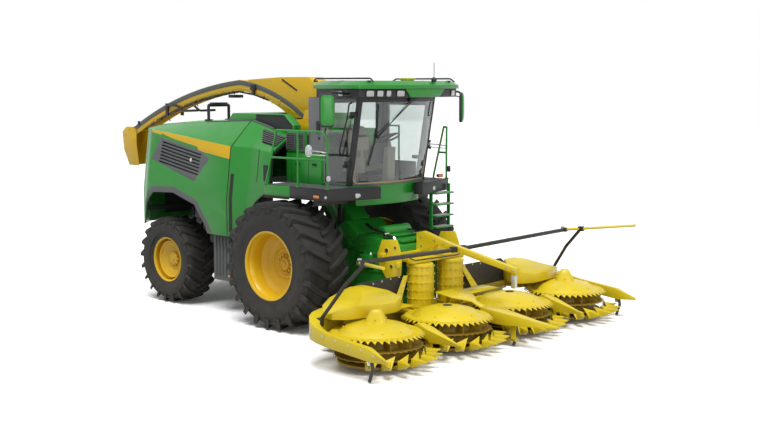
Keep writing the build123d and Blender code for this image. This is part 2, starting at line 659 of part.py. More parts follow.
with BuildPart() as door_glass:
    add(cab_form(0, CAB_LEVELS))
    add(cab_form(GLASS, CAB_LEVELS), mode=Mode.SUBTRACT)
    outline(side_plane(1000), door_window, 300, mode=Mode.INTERSECT, both=False)
save(door_glass.part, "door_glass")

# Roof, wider than the cab and bowed at its front, with a lamp band under its brow
ROOF_TOP = 3960
ROOF_EDGE = 3835
BAND_REAR = 700
ROOF_PLAN = ((150, 870), (1180, 1190), (1480, 1190), (1690, 0))
ANTENNA_X, ANTENNA_Y, ANTENNA_TOP = 1615, 400, 4245


def roof_outline(height, inset):
    """Draw the roof's plan at a height, set in from its edge."""
    rear, waist, corner, nose = ROOF_PLAN
    with BuildSketch(top_plane(height)) as plan:
        with BuildLine():
            Polyline((corner[0], -corner[1]), (waist[0], -waist[1]), (rear[0], -rear[1]),
                     rear, waist, corner)
            ThreePointArc(corner, nose, (corner[0], -corner[1]))
        make_face()
        if inset:
            offset(amount=-inset, kind=Kind.INTERSECTION)
    return plan.sketch


with BuildPart() as cab_roof:
    loft([roof_outline(ROOF_EDGE, 0).face(), roof_outline(ROOF_TOP - 70, 0).face()], ruled=True)
    loft([roof_outline(ROOF_TOP - 70, 0).face(), roof_outline(ROOF_TOP, 110).face()], ruled=True)
    extrude(roof_outline(CAB_TOP, 45), amount=ROOF_EDGE - CAB_TOP, dir=(0, 0, 1))
    block((BAND_REAR, 1800), (-1400, 1400), (CAB_TOP - 1, ROOF_EDGE), mode=Mode.SUBTRACT)
    pipe(((ANTENNA_X, ANTENNA_Y, ROOF_TOP - 60), (ANTENNA_X, ANTENNA_Y, ANTENNA_TOP)), 5)
    drum((ANTENNA_X, ANTENNA_Y, ROOF_TOP - 15), 26, 70, "z")
save(cab_roof.part, "cab_roof")

with BuildPart() as lamp_band:
    extrude(roof_outline(CAB_TOP, 30), amount=ROOF_EDGE - CAB_TOP, dir=(0, 0, 1))
    block((0, BAND_REAR), (-1400, 1400), (CAB_TOP - 1, ROOF_EDGE + 1), mode=Mode.SUBTRACT)
save(lamp_band.part, "lamp_band")

# Seat and controls
SEAT_X = 520
with BuildPart() as seat:
    block((SEAT_X - 180, SEAT_X + 160), (-170, 170), (2180, 2480))
    block((SEAT_X - 260, SEAT_X + 260), (-250, 250), (2480, 2610))
    outline(side_plane(), ((SEAT_X - 250, 2600), (SEAT_X - 130, 2600), (SEAT_X - 230, 3230),
                           (SEAT_X - 330, 3230)), 230)
save(seat.part, "seat")
STEERING = (978, 3040)   # middle of the steering wheel, station and height
with BuildPart() as console:
    outline(side_plane(), ((930, SILL_TOP), (1050, SILL_TOP), (1060, 2700), (1072, 2900), (985, 2900),
                           (950, 2620)), 85)
    pipe(((1030, 0, 2880), (STEERING[0] - 1, 0, STEERING[1] - 1)), 30)
    with Locations(Plane(origin=spot(STEERING[0], 0, STEERING[1]), z_dir=(-1, 0, 2.2))):
        Torus(190, 16)
        Box(360, 40, 24)
    block((380, 760), (-420, -300), (2480, 2720))
    pipe(((740, -360, 2700), (800, -420, 2900)), 18)
    block((780, 830), (-560, -280), (2860, 3060))
    block((420, 620), (-400, -320), (2180, 2500))
save(console.part, "console")

# Walkways beside the cab with their fenders
WALK_OUTER = 1450
WALK_INNER = CAB_HALF + 10
FENDER_FRONT = 200
EDGE_WALL = 28
EDGE_BOTTOM = 2110
WALK_PLAN = ((FENDER_FRONT, -WALK_OUTER), (1060, -WALK_OUTER), (1300, -500), (1150, -450),
             (1000, -WALK_INNER), (FENDER_FRONT, -WALK_INNER))
with BuildPart() as walkway:
    with BuildSketch(top_plane(DECK_BOTTOM)):
        Polygon(*WALK_PLAN, align=None)
        with Locations(((MID_FRONT_X + FENDER_FRONT) / 2,
                        -(WALK_INNER + WALK_OUTER - EDGE_WALL) / 2)):
            Rectangle(FENDER_FRONT - MID_FRONT_X, WALK_OUTER - EDGE_WALL - WALK_INNER)
    extrude(amount=DECK_TOP - DECK_BOTTOM)
    with BuildSketch(top_plane(EDGE_BOTTOM)):
        Polygon(*WALK_PLAN, align=None)
        offset(amount=-EDGE_WALL, kind=Kind.INTERSECTION, mode=Mode.SUBTRACT)
    extrude(amount=DECK_BOTTOM - EDGE_BOTTOM)
    block((FENDER_FRONT - 1, 1060), (-1300, -WALK_INNER + 10), (EDGE_BOTTOM - 1, DECK_BOTTOM),
          mode=Mode.SUBTRACT)
save_both(walkway.part, "walkways")
with BuildPart() as fender:
    block((MID_FRONT_X, FENDER_FRONT), (-WALK_OUTER, -WALK_OUTER + EDGE_WALL - SEAT_GAP),
          (EDGE_BOTTOM, DECK_TOP))
    block((MID_FRONT_X, FENDER_FRONT), (-WALK_OUTER, -WALK_INNER - 40),
          (DECK_BOTTOM - 26, DECK_BOTTOM))
save_both(fender.part, "fenders")

# Cabinets on the walkways, beside and behind the cab, with louvres in their upper part
CABINET_Y = (WALK_INNER, 950)
# Columns: side, front of the lower door part, front of the louvred part
CABINETS = ((RIGHT, 400, 40), (LEFT, 40, 40))
with BuildPart() as cabinets:
    for side, low_front, high_front in CABINETS:
        block((MID_RIB[1], low_front), sorted(side * y for y in CABINET_Y), (DECK_TOP, 2790))
        block((MID_FRONT_X + 4, high_front), sorted(side * y for y in CABINET_Y), (2820, 3150))
        block((MID_FRONT_X + 4, high_front), sorted((side * WALK_INNER, side * 930)),
              (2780, 2830))
        for slot in range(5):
            block((MID_FRONT_X + 50, high_front - 40), sorted((side * 930, side * 960)),
                  (2870 + 52 * slot, 2898 + 52 * slot), mode=Mode.SUBTRACT)
save(cabinets.part, "cabinets")

# Handrails, mirrors and the folded ladder
RAIL_R = 17
RAIL_Y = WALK_OUTER - 20
HAND_TOP = 3180
with BuildPart() as handrails:
    for side, front_foot, front_head in ((RIGHT, 1040, 1040), (LEFT, 745, 965)):
        rail_y = side * RAIL_Y
        if side == RIGHT:
            pipe(((-370, rail_y, DECK_TOP), (-370, rail_y, DECK_TOP + 40),
                  (-110, rail_y, HAND_TOP), (940, rail_y, HAND_TOP),
                  (front_head, rail_y, HAND_TOP - 120), (front_foot, rail_y, DECK_TOP)), RAIL_R)
            pipe(((380, rail_y, DECK_TOP), (380, rail_y, HAND_TOP)), RAIL_R)
            pipe(((-240, rail_y, 2745), (1040, rail_y, 2745)), RAIL_R)
        else:
            pipe(((front_foot, rail_y, DECK_TOP), (front_foot, rail_y, DECK_TOP + 40),
                  (front_head, rail_y, HAND_TOP),
                  (1030, rail_y, HAND_TOP), (1030, rail_y, DECK_TOP)), RAIL_R)
            pipe(((851, rail_y, 2745), (1030, rail_y, 2745)), RAIL_R)
            pipe(((-370, rail_y, DECK_TOP), (-370, rail_y, HAND_TOP), (-60, rail_y, HAND_TOP),
                  (-60, rail_y, DECK_TOP)), RAIL_R)

MIRROR_Y = 1600
MIRROR_YAW = 33          # how far each mirror's face is turned outward
MIRROR_ROOT_Y = ROOF_PLAN[1][1] - 30   # side of the lamp band
with BuildPart() as mirrors:
    for side in SIDES.values():
        pipe(((1215, side * MIRROR_ROOT_Y, 3740), (1215, side * (MIRROR_Y - 110), 3740)), 20)
        with BuildSketch(Plane(origin=spot(1215, side * MIRROR_Y, 3260),
                               x_dir=(cos(radians(MIRROR_YAW)), side * sin(radians(MIRROR_YAW)), 0),
                               z_dir=(0, 0, 1))) as shell_plan:
            RectangleRounded(90, 240, 30)
        extrude(shell_plan.sketch, amount=510, dir=(0, 0, 1))
save(mirrors.part, "mirrors")

LADDER_X = (1085, 1145)
with BuildPart() as ladder:
    for rail_y in (930, 1390):
        outline(side_plane(rail_y), ((LADDER_X[0], 1480), (LADDER_X[1], 1480),
                                     (LADDER_X[1], DECK_BOTTOM), (LADDER_X[0], DECK_BOTTOM)), 12)
    for step in range(4):
        block((LADDER_X[0] - 10, LADDER_X[1] + 90), (930, 1390), (1500 + 190 * step, 1525 + 190 * step))
with BuildPart() as rails_and_ladder:
    add(handrails.part)
    add(ladder.part)
save(rails_and_ladder.part, "rails_and_ladder")

# Spout: ring body, arched arm, deflector flap and its lift cylinder
SPOUT_PIVOT = (-700, 3400)
ARM_HALF = 165
ARM_WALL = 12
YOKE_WALL = 30
PIVOT_R = 30
TURRET_TOP = 3240
CYLINDER_BASE = (-985, 3270)
CYLINDER_EYE = (-1700, 3615)
with BuildPart() as turret:
    drum((SPOUT_X, 0, (RING_Z + 62 + TURRET_TOP) / 2), RING_R - 20, (TURRET_TOP - RING_Z - 62) / 2,
         "z")
    drum((SPOUT_X, 0, 3200), RING_R - 80, 300, "z", mode=Mode.SUBTRACT)
    for side in SIDES.values():
        outline(side_plane(side * (ARM_HALF + SWING_GAP + YOKE_WALL / 2)),
                ((-1040, TURRET_TOP - 60), (-560, TURRET_TOP - 60), (-560, 3250), (-650, 3470),
                 (-750, 3470), (-800, 3320), (-1040, 3290)), YOKE_WALL / 2)
    drum((SPOUT_PIVOT[0], 0, SPOUT_PIVOT[1]), PIVOT_R, ARM_HALF + SWING_GAP + YOKE_WALL)
    drum((CYLINDER_BASE[0], 0, CYLINDER_BASE[1]), 20, ARM_HALF + SWING_GAP + YOKE_WALL)
save(turret.part, "spout_turret")


def arm_section(half, drop):
    """Extrude the arched side outline of the arm, its skin dropped inwards."""
    with BuildSketch(side_plane()) as face:
        with BuildLine():
            front = (-600 - drop, 3330)
            knee = (-2500, 3985 - drop)
            tail = (-5800 + drop, 3045 - drop)
            ThreePointArc(front, (-1400 - 0.3 * drop, 3745 - drop), knee)
            ThreePointArc(knee, (-4150, 3690 - drop), tail)
            below = 60 if drop else 0
            low_tail = (-5700 + drop, 2900 - below)
            low_knee = (-2500, 3790 - below)
            low_front = (-1130 + drop, 3330 - below)
            Line(tail, low_tail)
            ThreePointArc(low_tail, (-4100, 3525 - below), low_knee)
            ThreePointArc(low_knee, (-1640, 3590 - below), low_front)
            Line(low_front, front)
        make_face()
    extrude(face.sketch, amount=half, both=True)


with BuildPart() as spout_arm:
    arm_section(ARM_HALF, 0)
    outline(side_plane(), ((-620, 3300), (-510, 3450), (-510, 3900), (-700, 4030), (-1390, 4030),
                           (-2300, 3985), (-1400, 3700), (-900, 3400)), ARM_HALF)
    with BuildPart(mode=Mode.PRIVATE) as hollow:
        arm_section(ARM_HALF - ARM_WALL, ARM_WALL)
        outline(side_plane(), ((-560, 3200), (-640, 3440), (-900, 3560), (-1150, 3200)),
                ARM_HALF - ARM_WALL)
    add(hollow.part, mode=Mode.SUBTRACT)
    block((SPOUT_PIVOT[0] - 60, SPOUT_PIVOT[0] + 60), (-ARM_HALF, ARM_HALF),
          (SPOUT_PIVOT[1] - 60, SPOUT_PIVOT[1] + 60))
    drum((SPOUT_PIVOT[0], 0, SPOUT_PIVOT[1]), PIVOT_R + RUNNING_GAP, ARM_HALF + 1,
         mode=Mode.SUBTRACT)

FLAP_PIVOT = (-5720, 2985)
FLAP_HALF = ARM_HALF + SWING_GAP + 10
FLAP_PIN_R = 15
with BuildPart() as arm_with_pins:
    add(spout_arm.part)
    drum((FLAP_PIVOT[0], 0, FLAP_PIVOT[1]), FLAP_PIN_R, FLAP_HALF + 2)
    # Bracket for the lift cylinder's eye, inside the arm
    outline(side_plane(), ((-1640, 3570), (-1760, 3570), (-1760, 3850), (-1640, 3830)), 60)
    block((-1761, -1639), (-42, 42), (3540, 3690), mode=Mode.SUBTRACT)
    drum((CYLINDER_EYE[0], 0, CYLINDER_EYE[1]), 20, 60)
save(arm_with_pins.part, "spout_arm")
with BuildPart() as flap:
    flap_side = ((-5680, 3010), (-5820, 3055), (-6010, 3060), (SPOUT_END_X, 2960), (-6110, 2600),
                 (-5930, 2290), (-5600, 2290), (-5680, 2700))
    outline(side_plane(), flap_side, FLAP_HALF)
    outline(side_plane(), ((-5500, 3200), (-5815, 3200), (-5825, 3043), (-6000, 3045), (-6135, 2952),
                           (-6096, 2604), (-5912, 2270), (-5500, 2200)), FLAP_HALF - 10,
            mode=Mode.SUBTRACT)
    drum((FLAP_PIVOT[0], 0, FLAP_PIVOT[1]), FLAP_PIN_R + RUNNING_GAP, FLAP_HALF + 1,
         mode=Mode.SUBTRACT)
save(flap.part, "spout_flap")

cylinder_base = Vector(CYLINDER_BASE[0], 0, CYLINDER_BASE[1])
cylinder_eye = Vector(CYLINDER_EYE[0], 0, CYLINDER_EYE[1])


def cylinder(base, eye, barrel_r, rod_r, pin_r, eye_r, eye_gap, barrel_share):
    """Build a cylinder's barrel and rod between two pins across the machine.

    The eye's gap lets the rod follow a path that strays a little from its pin.
    """
    line = eye - base
    barrel_end = base + line * barrel_share
    with BuildPart() as barrel:
        pipe((base, barrel_end), barrel_r)
        drum(base, eye_r, barrel_r + 4)
        pipe(((base + line * 0.12), (barrel_end + line)),
             rod_r + RUNNING_GAP, mode=Mode.SUBTRACT)
        drum(base, pin_r + RUNNING_GAP, barrel_r + 5, mode=Mode.SUBTRACT)
    with BuildPart() as rod:
        pipe(((base + line * 0.16), (eye - line.normalized() * (eye_r - 4))), rod_r)
        drum(eye, eye_r, barrel_r + 4)
        drum(eye, pin_r + eye_gap, barrel_r + 5, mode=Mode.SUBTRACT)
    return barrel.part, rod.part


barrel, rod = cylinder(cylinder_base, cylinder_eye, 34, 17, 20, 42, 11, 0.62)
save(barrel, "spout_barrel")
save(rod, "spout_rod")

# Spout rest on the hood
REST_X = -3300
REST_HALF = 240
with BuildPart() as spout_rest:
    for side in SIDES.values():
        pipe(((REST_X, side * REST_HALF, 3252), (REST_X, side * REST_HALF, 3520)), 28)
    pipe(((REST_X, -REST_HALF, 3520), (REST_X, REST_HALF, 3520)), 28)
    for side in SIDES.values():
        block((REST_X - 60, REST_X + 60), sorted((side * (REST_HALF - 50), side * (REST_HALF + 50))),
              (3220, 3262))
    add(body_form(-SEAT_GAP), mode=Mode.SUBTRACT)
    block((REST_X - 80, REST_X + 80), (-150, 150), (3520, 3570))
save(spout_rest.part, "spout_rest")

# Feeder housing on the crop unit's pins
FEEDER_HALF = 460
CHEEK = (CROP_HALF + 5, FEEDER_HALF)
HEADER_REAR = 1640
with BuildPart() as feeder:
    outline(side_plane(), ((725, 640), (HEADER_REAR, 440), (HEADER_REAR, 1380), (1480, 1450),
                           (770, 1500), (735, 1300)), FEEDER_HALF)
    block((900, HEADER_REAR + 10), (-CROP_HALF, CROP_HALF), (560, 1250), mode=Mode.SUBTRACT)
    for side in SIDES.values():
        cheek = sorted((side * CHEEK[0], side * CHEEK[1]))
        block((FEEDER_PIVOT[0] - 60, 800), cheek, (FEEDER_PIVOT[1] - 90, FEEDER_PIVOT[1] + 90))
        drum((FEEDER_PIVOT[0], side * sum(CHEEK) / 2, FEEDER_PIVOT[1]),
             FEEDER_PIN_R + RUNNING_GAP, 25, mode=Mode.SUBTRACT)
        # Lift cylinder's lug
        lug = sorted((side * (FEEDER_HALF - 5), side * (FEEDER_HALF + 30)))
        block((1290, 1410), lug, (500, 700))
        drum((LIFT_EYE[0], side * 540, LIFT_EYE[1]), LIFT_PIN_R, 80)
save(feeder.part, "feeder_house")

lift_barrels, lift_rods = [], []
for side in SIDES.values():
    barrel, rod = cylinder(Vector(LIFT_BASE[0], side * LIFT_Y, LIFT_BASE[1]),
                           Vector(LIFT_EYE[0], side * LIFT_Y, LIFT_EYE[1]), 48, 26, LIFT_PIN_R, 44, 4, 0.6)
    lift_barrels.append(barrel)
    lift_rods.append(rod)
for title, pieces in (("lift_barrels", lift_barrels), ("lift_rods", lift_rods)):
    with BuildPart() as pair:
        add(pieces)
    save(pair.part, title)

# Header: four rotors on base pans, a back beam with a centre tower, and dividers
ROTOR_X = 2885
ROTOR_PITCH = 1540
ROTOR_R = 684
ROTOR_TOP = 508          # upper toothed disc
ROTOR_TEETH = 44
PAN_LOW, PAN_HIGH = 92, 122
PAN_R = 540
SHAFT_TOP = 330
ROTOR_BORE_R = 60
ROTOR_PLACES = [ROTOR_PITCH * (index - 1.5) for index in range(4)]
BEAM_X = (HEADER_REAR, 1760)
BEAM_END = 2200          # outer end of the back beam, behind the outer rotors
NECK_Y = 2030            # middle of the arm under each outer rotor
TOWER_INNER = 700
TOWER_WALL = 22
# Tower plate, seen from the side: foot, front edge, scalloped head and rear edge
TOWER = ((HEADER_REAR, 390), (1860, 390), (1940, 520), (1900, 900), (1925, 1260), (1880, 1400),
         (1820, 1530), (1520, 1500), (1420, 1260), (1470, 1090), (1600, 920), (HEADER_REAR, 880))
DRUM_X, DRUM_Y, DRUM_R, DRUM_CORE_R = 2010, 362, 225, 198
DRUM_LOW, DRUM_HIGH = 460, 1140
DRUM_PIN_R = 25
# Fingers: reach from the rotor's axis, width, height, level of the middle
FINGER = ((500, 60, 26, PAN_LOW + 14), (694, 60, 60, 150), (702, 128, 126, 176), (930, 8, 6, 212))
FINGER_ANGLES = (-54, -36, -18, 0, 18, 36, 54)


def finger(rotor_y, angle):
    """Build one crop finger, rising from the pan's edge to its arrow point."""
    turn = radians(angle)
    ahead = Vector(cos(turn), sin(turn), 0)
    with BuildPart() as wedge:
        for reach, width, height, level in FINGER:
            place = Vector(*spot(ROTOR_X, rotor_y, level)) + ahead * reach
            with BuildSketch(Plane(origin=place, x_dir=(-sin(turn), cos(turn), 0), z_dir=ahead)):
                Rectangle(width, height)
        loft(ruled=True)
    return wedge.part


def wedge_form(plan, profile):
    """Build a solid from its plan and its side view."""
    with BuildPart() as form:
        outline(top_plane(0), plan, 1400, both=False)
        outline(side_plane(), profile, 3500, mode=Mode.INTERSECT)
    return form.part


def mirrored_plan(points):
    """Return a half plan closed by its mirror image across the machine's middle."""
    return points + tuple((x, -y) for x, y in reversed(points) if y)


# Boom over the middle rotors, seen from the side, and the post under its end
BOOM_HALF = 42
BOOM = ((HEADER_REAR, 1270), (HEADER_REAR, 1565), (1779, 1595), (2327, 1448), (3583, 1190),
        (3583, 1108), (2327, 1350), (2040, 1400), (1960, 1270))
POST_X, POST_LOW = (3500, 3568), 893
centre_divider = wedge_form(mirrored_plan(((2950, -60), (3300, -128), (CENTRE_TIP_X, 0))),
                            ((2950, 330), (2950, 535), (3300, 525), (CENTRE_TIP_X, 400),
                             (CENTRE_TIP_X, 380), (3500, 330)))
# Sheet between the two middle rotors, behind the centre divider
saddle = wedge_form(mirrored_plan(((2260, -300), (2560, -250), (2780, -60), (2949, -60))),
                    ((2260, 700), (2260, 712), (2700, 628), (2949, 535), (2949, 523), (2700, 616)))
with BuildPart() as header_frame:
    for side in SIDES.values():
        block(BEAM_X, sorted((side * BEAM_END, side * TOWER_INNER)), (400, 600))
        tower = sorted((side * TOWER_INNER, side * (TOWER_INNER + TOWER_WALL)))
        outline(side_plane(sum(tower) / 2), TOWER, TOWER_WALL / 2)
        # Deck plate behind the inner rotor, and ribs behind the outer one
        block((BEAM_X[1] - 5, 2190), sorted((side * (TOWER_INNER + 5), side * 1440)), (540, 552))
        block((BEAM_X[1] - 5, 1985), (side * 1900 - 20, side * 1900 + 20), (500, 590))
        # Outrigger from the beam to the outer guard's rear end
        block((BEAM_X[1] - 5, 2080), (side * 2170 - 30, side * 2170 + 30), (440, 590))
        block((2010, 2080), sorted((side * 2145, side * 2400)), (440, 590))
        drum((DRUM_X, side * DRUM_Y, DRUM_LOW), DRUM_PIN_R, 60, "z")
        drum((DRUM_X, side * DRUM_Y, DRUM_HIGH), DRUM_PIN_R, 60, "z")
    block((BEAM_X[0], BEAM_X[0] + 60), (-BEAM_END + 20, BEAM_END - 20), (PAN_LOW, 410))
    block((BEAM_X[0], 1740), (-TOWER_INNER - 5, TOWER_INNER + 5), (1190, 1285))
    block((1920, 2060), (-TOWER_INNER + 100, TOWER_INNER - 100), (DRUM_HIGH + 20, 1225))
    for side in SIDES.values():
        block((1730, 1930), sorted((side * 560, side * 600)), (DRUM_HIGH + 40, 1215))
    block((1690, 2230), (-TOWER_INNER - 5, TOWER_INNER + 5), (400, DRUM_LOW - 20))
    block((2215, 2270), (-40, 40), (430, 701))
    for rotor_y in ROTOR_PLACES:
        with BuildSketch(top_plane(PAN_LOW)) as pan:
            with Locations((ROTOR_X, rotor_y)):
                Circle(PAN_R)
            neck_y = rotor_y if abs(rotor_y) < ROTOR_PITCH else copysign(NECK_Y, rotor_y)
            with Locations(((BEAM_X[0] + ROTOR_X) / 2, neck_y)):
                Rectangle(ROTOR_X - BEAM_X[0], 280 if abs(rotor_y) > ROTOR_PITCH else 620)
        extrude(pan.sketch, amount=PAN_HIGH - PAN_LOW, dir=(0, 0, 1))
        drum((ROTOR_X, rotor_y, (PAN_HIGH + SHAFT_TOP) / 2), ROTOR_BORE_R,
             (SHAFT_TOP - PAN_HIGH) / 2, "z")
    # Fore-and-aft beams that carry the dividers
    for beam_y, front in ((-ROTOR_PITCH, 3240), (0, 3600), (ROTOR_PITCH, 3240)):
        block((BEAM_X[0], front), (beam_y - 45, beam_y + 45), (PAN_LOW, PAN_HIGH))
        block((front - 90, front), (beam_y - 30, beam_y + 30), (PAN_LOW, 330))
    outline(side_plane(), BOOM, BOOM_HALF)
    block(POST_X, (-24, 24), (POST_LOW, 1125))
    add(centre_divider, mode=Mode.SUBTRACT)
    add(saddle, mode=Mode.SUBTRACT)
save(header_frame.part, "header_frame")

with BuildPart() as header_fingers:
    add([finger(rotor_y, angle) for rotor_y in ROTOR_PLACES for angle in FINGER_ANGLES])
    add(header_frame.part, mode=Mode.SUBTRACT)
save(header_fingers.part, "header_fingers")

# Outer guard: a band that wraps the outer rotor and ends in a point
GUARD_OUTER_Y = 3080
GUARD_PLAN = ((2000, -2350), (2015, -2560), (2065, -2740), (2150, -2890), (2280, -3000),
              (2450, -3058), (2700, -GUARD_OUTER_Y), (3450, -GUARD_OUTER_Y), (3800, -3065),
              (3500, -3000), (3240, -3006), (2620, -3006), (2480, -2962), (2360, -2890),
              (2270, -2790), (2212, -2660), (2175, -2500), (2160, -2350))
GUARD_SIDE = ((1900, 420), (1900, 770), (2100, 725), (2400, 620), (2700, 560), (3450, 480),
              (3800, 352), (3800, 318), (3500, 300), (2700, 372), (2300, 410))
with BuildPart() as header_dividers:
    add(centre_divider)
    add(saddle)
    for side in SIDES.values():
        y_mid = side * ROTOR_PITCH
        add(wedge_form(((2935, y_mid - 35), (2935, y_mid + 35), (3200, y_mid + 88), (3770, y_mid),
                        (3200, y_mid - 88)),
                       ((2935, 330), (2935, 500), (3040, 526), (3770, 305), (3770, 285), (3240, 285),
                        (3240, 330))))
        add(wedge_form([(x, -side * y) for x, y in GUARD_PLAN], GUARD_SIDE))
    add(header_frame.part, mode=Mode.SUBTRACT)

# Hoods over the rear half of the outer rotors
HOOD_WALL = 9
HOOD_LOW = 655
HOOD_REAR_X = 1986
SKIRT_END = 2130         # outer end of the sheet that closes the hood's rear
# Plan, then the roof's height along the machine and across it
HOOD_INNER_Y = 1800      # inner end of the hood's rear edge
HOOD_PLAN = ((HOOD_REAR_X, -HOOD_INNER_Y), (HOOD_REAR_X, -2330), (2080, -2560), (2230, -2700),
             (2420, -2700), (2560, -2560), (2640, -2310), (2680, -2000), (2690, -1700),
             (2620, -1500), (2500, -1425), (2250, -1560))
HOOD_ROOF = ((HOOD_REAR_X, 880), (2060, 985), (2250, 1010), (2640, 830), (2700, 790))
HOOD_CROSS = ((-2760, 660), (-2700, 735), (-2560, 800), (-2250, 890), (-2000, 985), (-1820, 1005),
              (-1570, 930), (-1420, 790))


def rotor_hood(inset):
    """Build the solid form of the right-hand rotor hood, set in from its outer face."""
    low = HOOD_LOW - (50 if inset else 0)
    with BuildPart() as form:
        with BuildSketch(top_plane(0)) as plan:
            Polygon(*HOOD_PLAN, align=None)
            if inset:
                offset(amount=-inset, kind=Kind.INTERSECTION)
        extrude(plan.sketch, amount=1200, dir=(0, 0, 1))
        for plane, heights in ((side_plane(), HOOD_ROOF), (cross_plane(0), HOOD_CROSS)):
            ends = heights[0][0] - 60, heights[-1][0] + 60
            roof = [(place, height - 1.2 * inset) for place, height in heights]
            outline(plane, [(ends[0], low), (ends[0], roof[0][1])] + roof
                    + [(ends[1], roof[-1][1]), (ends[1], low)], 3500, mode=Mode.INTERSECT)
    return form.part


HOOD_FORM = rotor_hood(0)
with BuildPart() as hood:
    add(HOOD_FORM)
    add(rotor_hood(HOOD_WALL), mode=Mode.SUBTRACT)
    # Rear skirt down to the beam's ribs
    block((HOOD_REAR_X, HOOD_REAR_X + HOOD_WALL), (-SKIRT_END, -HOOD_INNER_Y - 20), (500, 700))
with BuildPart() as header_guards:
    add(header_dividers.part)
    add(hood.part)
    add(mirrored(hood.part))
save(header_guards.part, "header_guards")

# Rubber sheets between the tower and the hoods
FLAP_HALF = 5
with BuildPart() as header_flaps:
    for side in SIDES.values():
        start = Vector(*spot(1935, side * (TOWER_INNER + TOWER_WALL), 0))
        end = Vector(*spot(HOOD_REAR_X - FLAP_HALF, side * (HOOD_INNER_Y + 60), 0))
        length = (end - start).length
        plane = Plane(origin=start, x_dir=end - start, z_dir=(end - start).cross(Vector(0, 0, 1)))
        outline(plane, ((0, 580), (length, 600), (length, 900), (length - 120, 990), (0, 985)),
                FLAP_HALF)
    add(header_frame.part, mode=Mode.SUBTRACT)
    add([HOOD_FORM, mirrored(HOOD_FORM)], mode=Mode.SUBTRACT)
save(header_flaps.part, "header_flaps")

# Push bars with their tips and struts
BAR_R, TIP_R, STRUT_R = 32, 22, 26
BAR_ROOT, BAR_END, TIP_END = (2450, 20, 1365), (2750, 2500, 1470), (3750, 3095, 1570)
STRUT = ((2262, 2795, 630), (2420, 2745, 850), (2650, 2690, 1160), (2975, 2634, 1492))
with BuildPart() as push_bars:
    for side in SIDES.values():
        root, end, tip = [(x, side * y, z) for x, y, z in (BAR_ROOT, BAR_END, TIP_END)]
        pipe((root, end), BAR_R)
        pipe([(x, side * y, z) for x, y, z in STRUT], STRUT_R)
    add(header_frame.part, mode=Mode.SUBTRACT)
    add([header_guards.part, HOOD_FORM, mirrored(HOOD_FORM)], mode=Mode.SUBTRACT)
with BuildPart() as push_tips:
    for side in SIDES.values():
        pipe([(x, side * y, z) for x, y, z in (BAR_END, TIP_END)], TIP_R)
save(push_tips.part, "push_tips")

# Feet: a bent bar down from each point
FEET = ((3450, -3042), (3450, 3042), (3540, 0))
with BuildPart() as bars_and_feet:
    add(push_bars.part)
    add(push_tips.part, mode=Mode.SUBTRACT)
    for foot_x, foot_y in FEET:
        pipe(((foot_x + 30, foot_y, 345), (foot_x + 62, foot_y, 215), (foot_x, foot_y, 26)), 24)
    add([header_frame.part, header_guards.part], mode=Mode.SUBTRACT)
save(bars_and_feet.part, "push_bars_and_feet")

# Rotors: toothed disc, cone and cap over a skirted drum
TOOTH_DEPTH = 58
TOOTHED_DISCS = ((ROTOR_TOP - 8, ROTOR_R), (326, ROTOR_R - 20))
CAP_FOOT, CAP_TOP = 625, 830
for index, rotor_y in enumerate(ROTOR_PLACES):
    centre = spot(ROTOR_X, rotor_y, 0)
    with BuildPart() as rotor:
        with BuildSketch(Plane(origin=centre, x_dir=(1, 0, 0), z_dir=(0, -1, 0))) as profile:
            low = PAN_HIGH + SWING_GAP
            Polygon((ROTOR_BORE_R + RUNNING_GAP, low), (110, low), (110, 470), (400, 470),
                    (400, 190), (600, 190), (600, 200), (420, 200), (420, 325), (640, 325),
                    (640, 335), (420, 335), (420, ROTOR_TOP - 8), (630, ROTOR_TOP - 8),
                    (630, ROTOR_TOP), (535, ROTOR_TOP + 2), (510, 528), (410, 592), (240, 636),
                    (80, 655), (80, 640), (0, 640), (0, SHAFT_TOP + 10),
                    (ROTOR_BORE_R + RUNNING_GAP, SHAFT_TOP + 10), align=None)
        revolve(profile.sketch, axis=Axis(centre, (0, 0, 1)))
        for disc_z, disc_r in TOOTHED_DISCS:
            with BuildSketch(Plane(origin=spot(ROTOR_X, rotor_y, disc_z))) as disc:
                teeth = [(disc_r if tip % 2 else disc_r - TOOTH_DEPTH, tip * 180 / ROTOR_TEETH)
                         for tip in range(2 * ROTOR_TEETH)]
                Polygon(*[(reach * cos(radians(turn)), reach * sin(radians(turn)))
                          for reach, turn in teeth], align=None)
                Circle(disc_r - TOOTH_DEPTH - 24, mode=Mode.SUBTRACT)
            extrude(disc.sketch, amount=8, dir=(0, 0, 1))
        if abs(rotor_y) > ROTOR_PITCH:
            # Raised cap with flat sides
            turned = Plane(origin=spot(ROTOR_X, rotor_y, CAP_FOOT), x_dir=(0.8, 0.6, 0))
            with BuildSketch(turned) as cap_foot:
                Rectangle(320, 300)
            with BuildSketch(turned.offset(CAP_TOP - CAP_FOOT)) as cap_head:
                Rectangle(120, 150)
            loft([cap_foot.sketch, cap_head.sketch], ruled=True)
    save(rotor.part, f"rotor_{index + 1}")

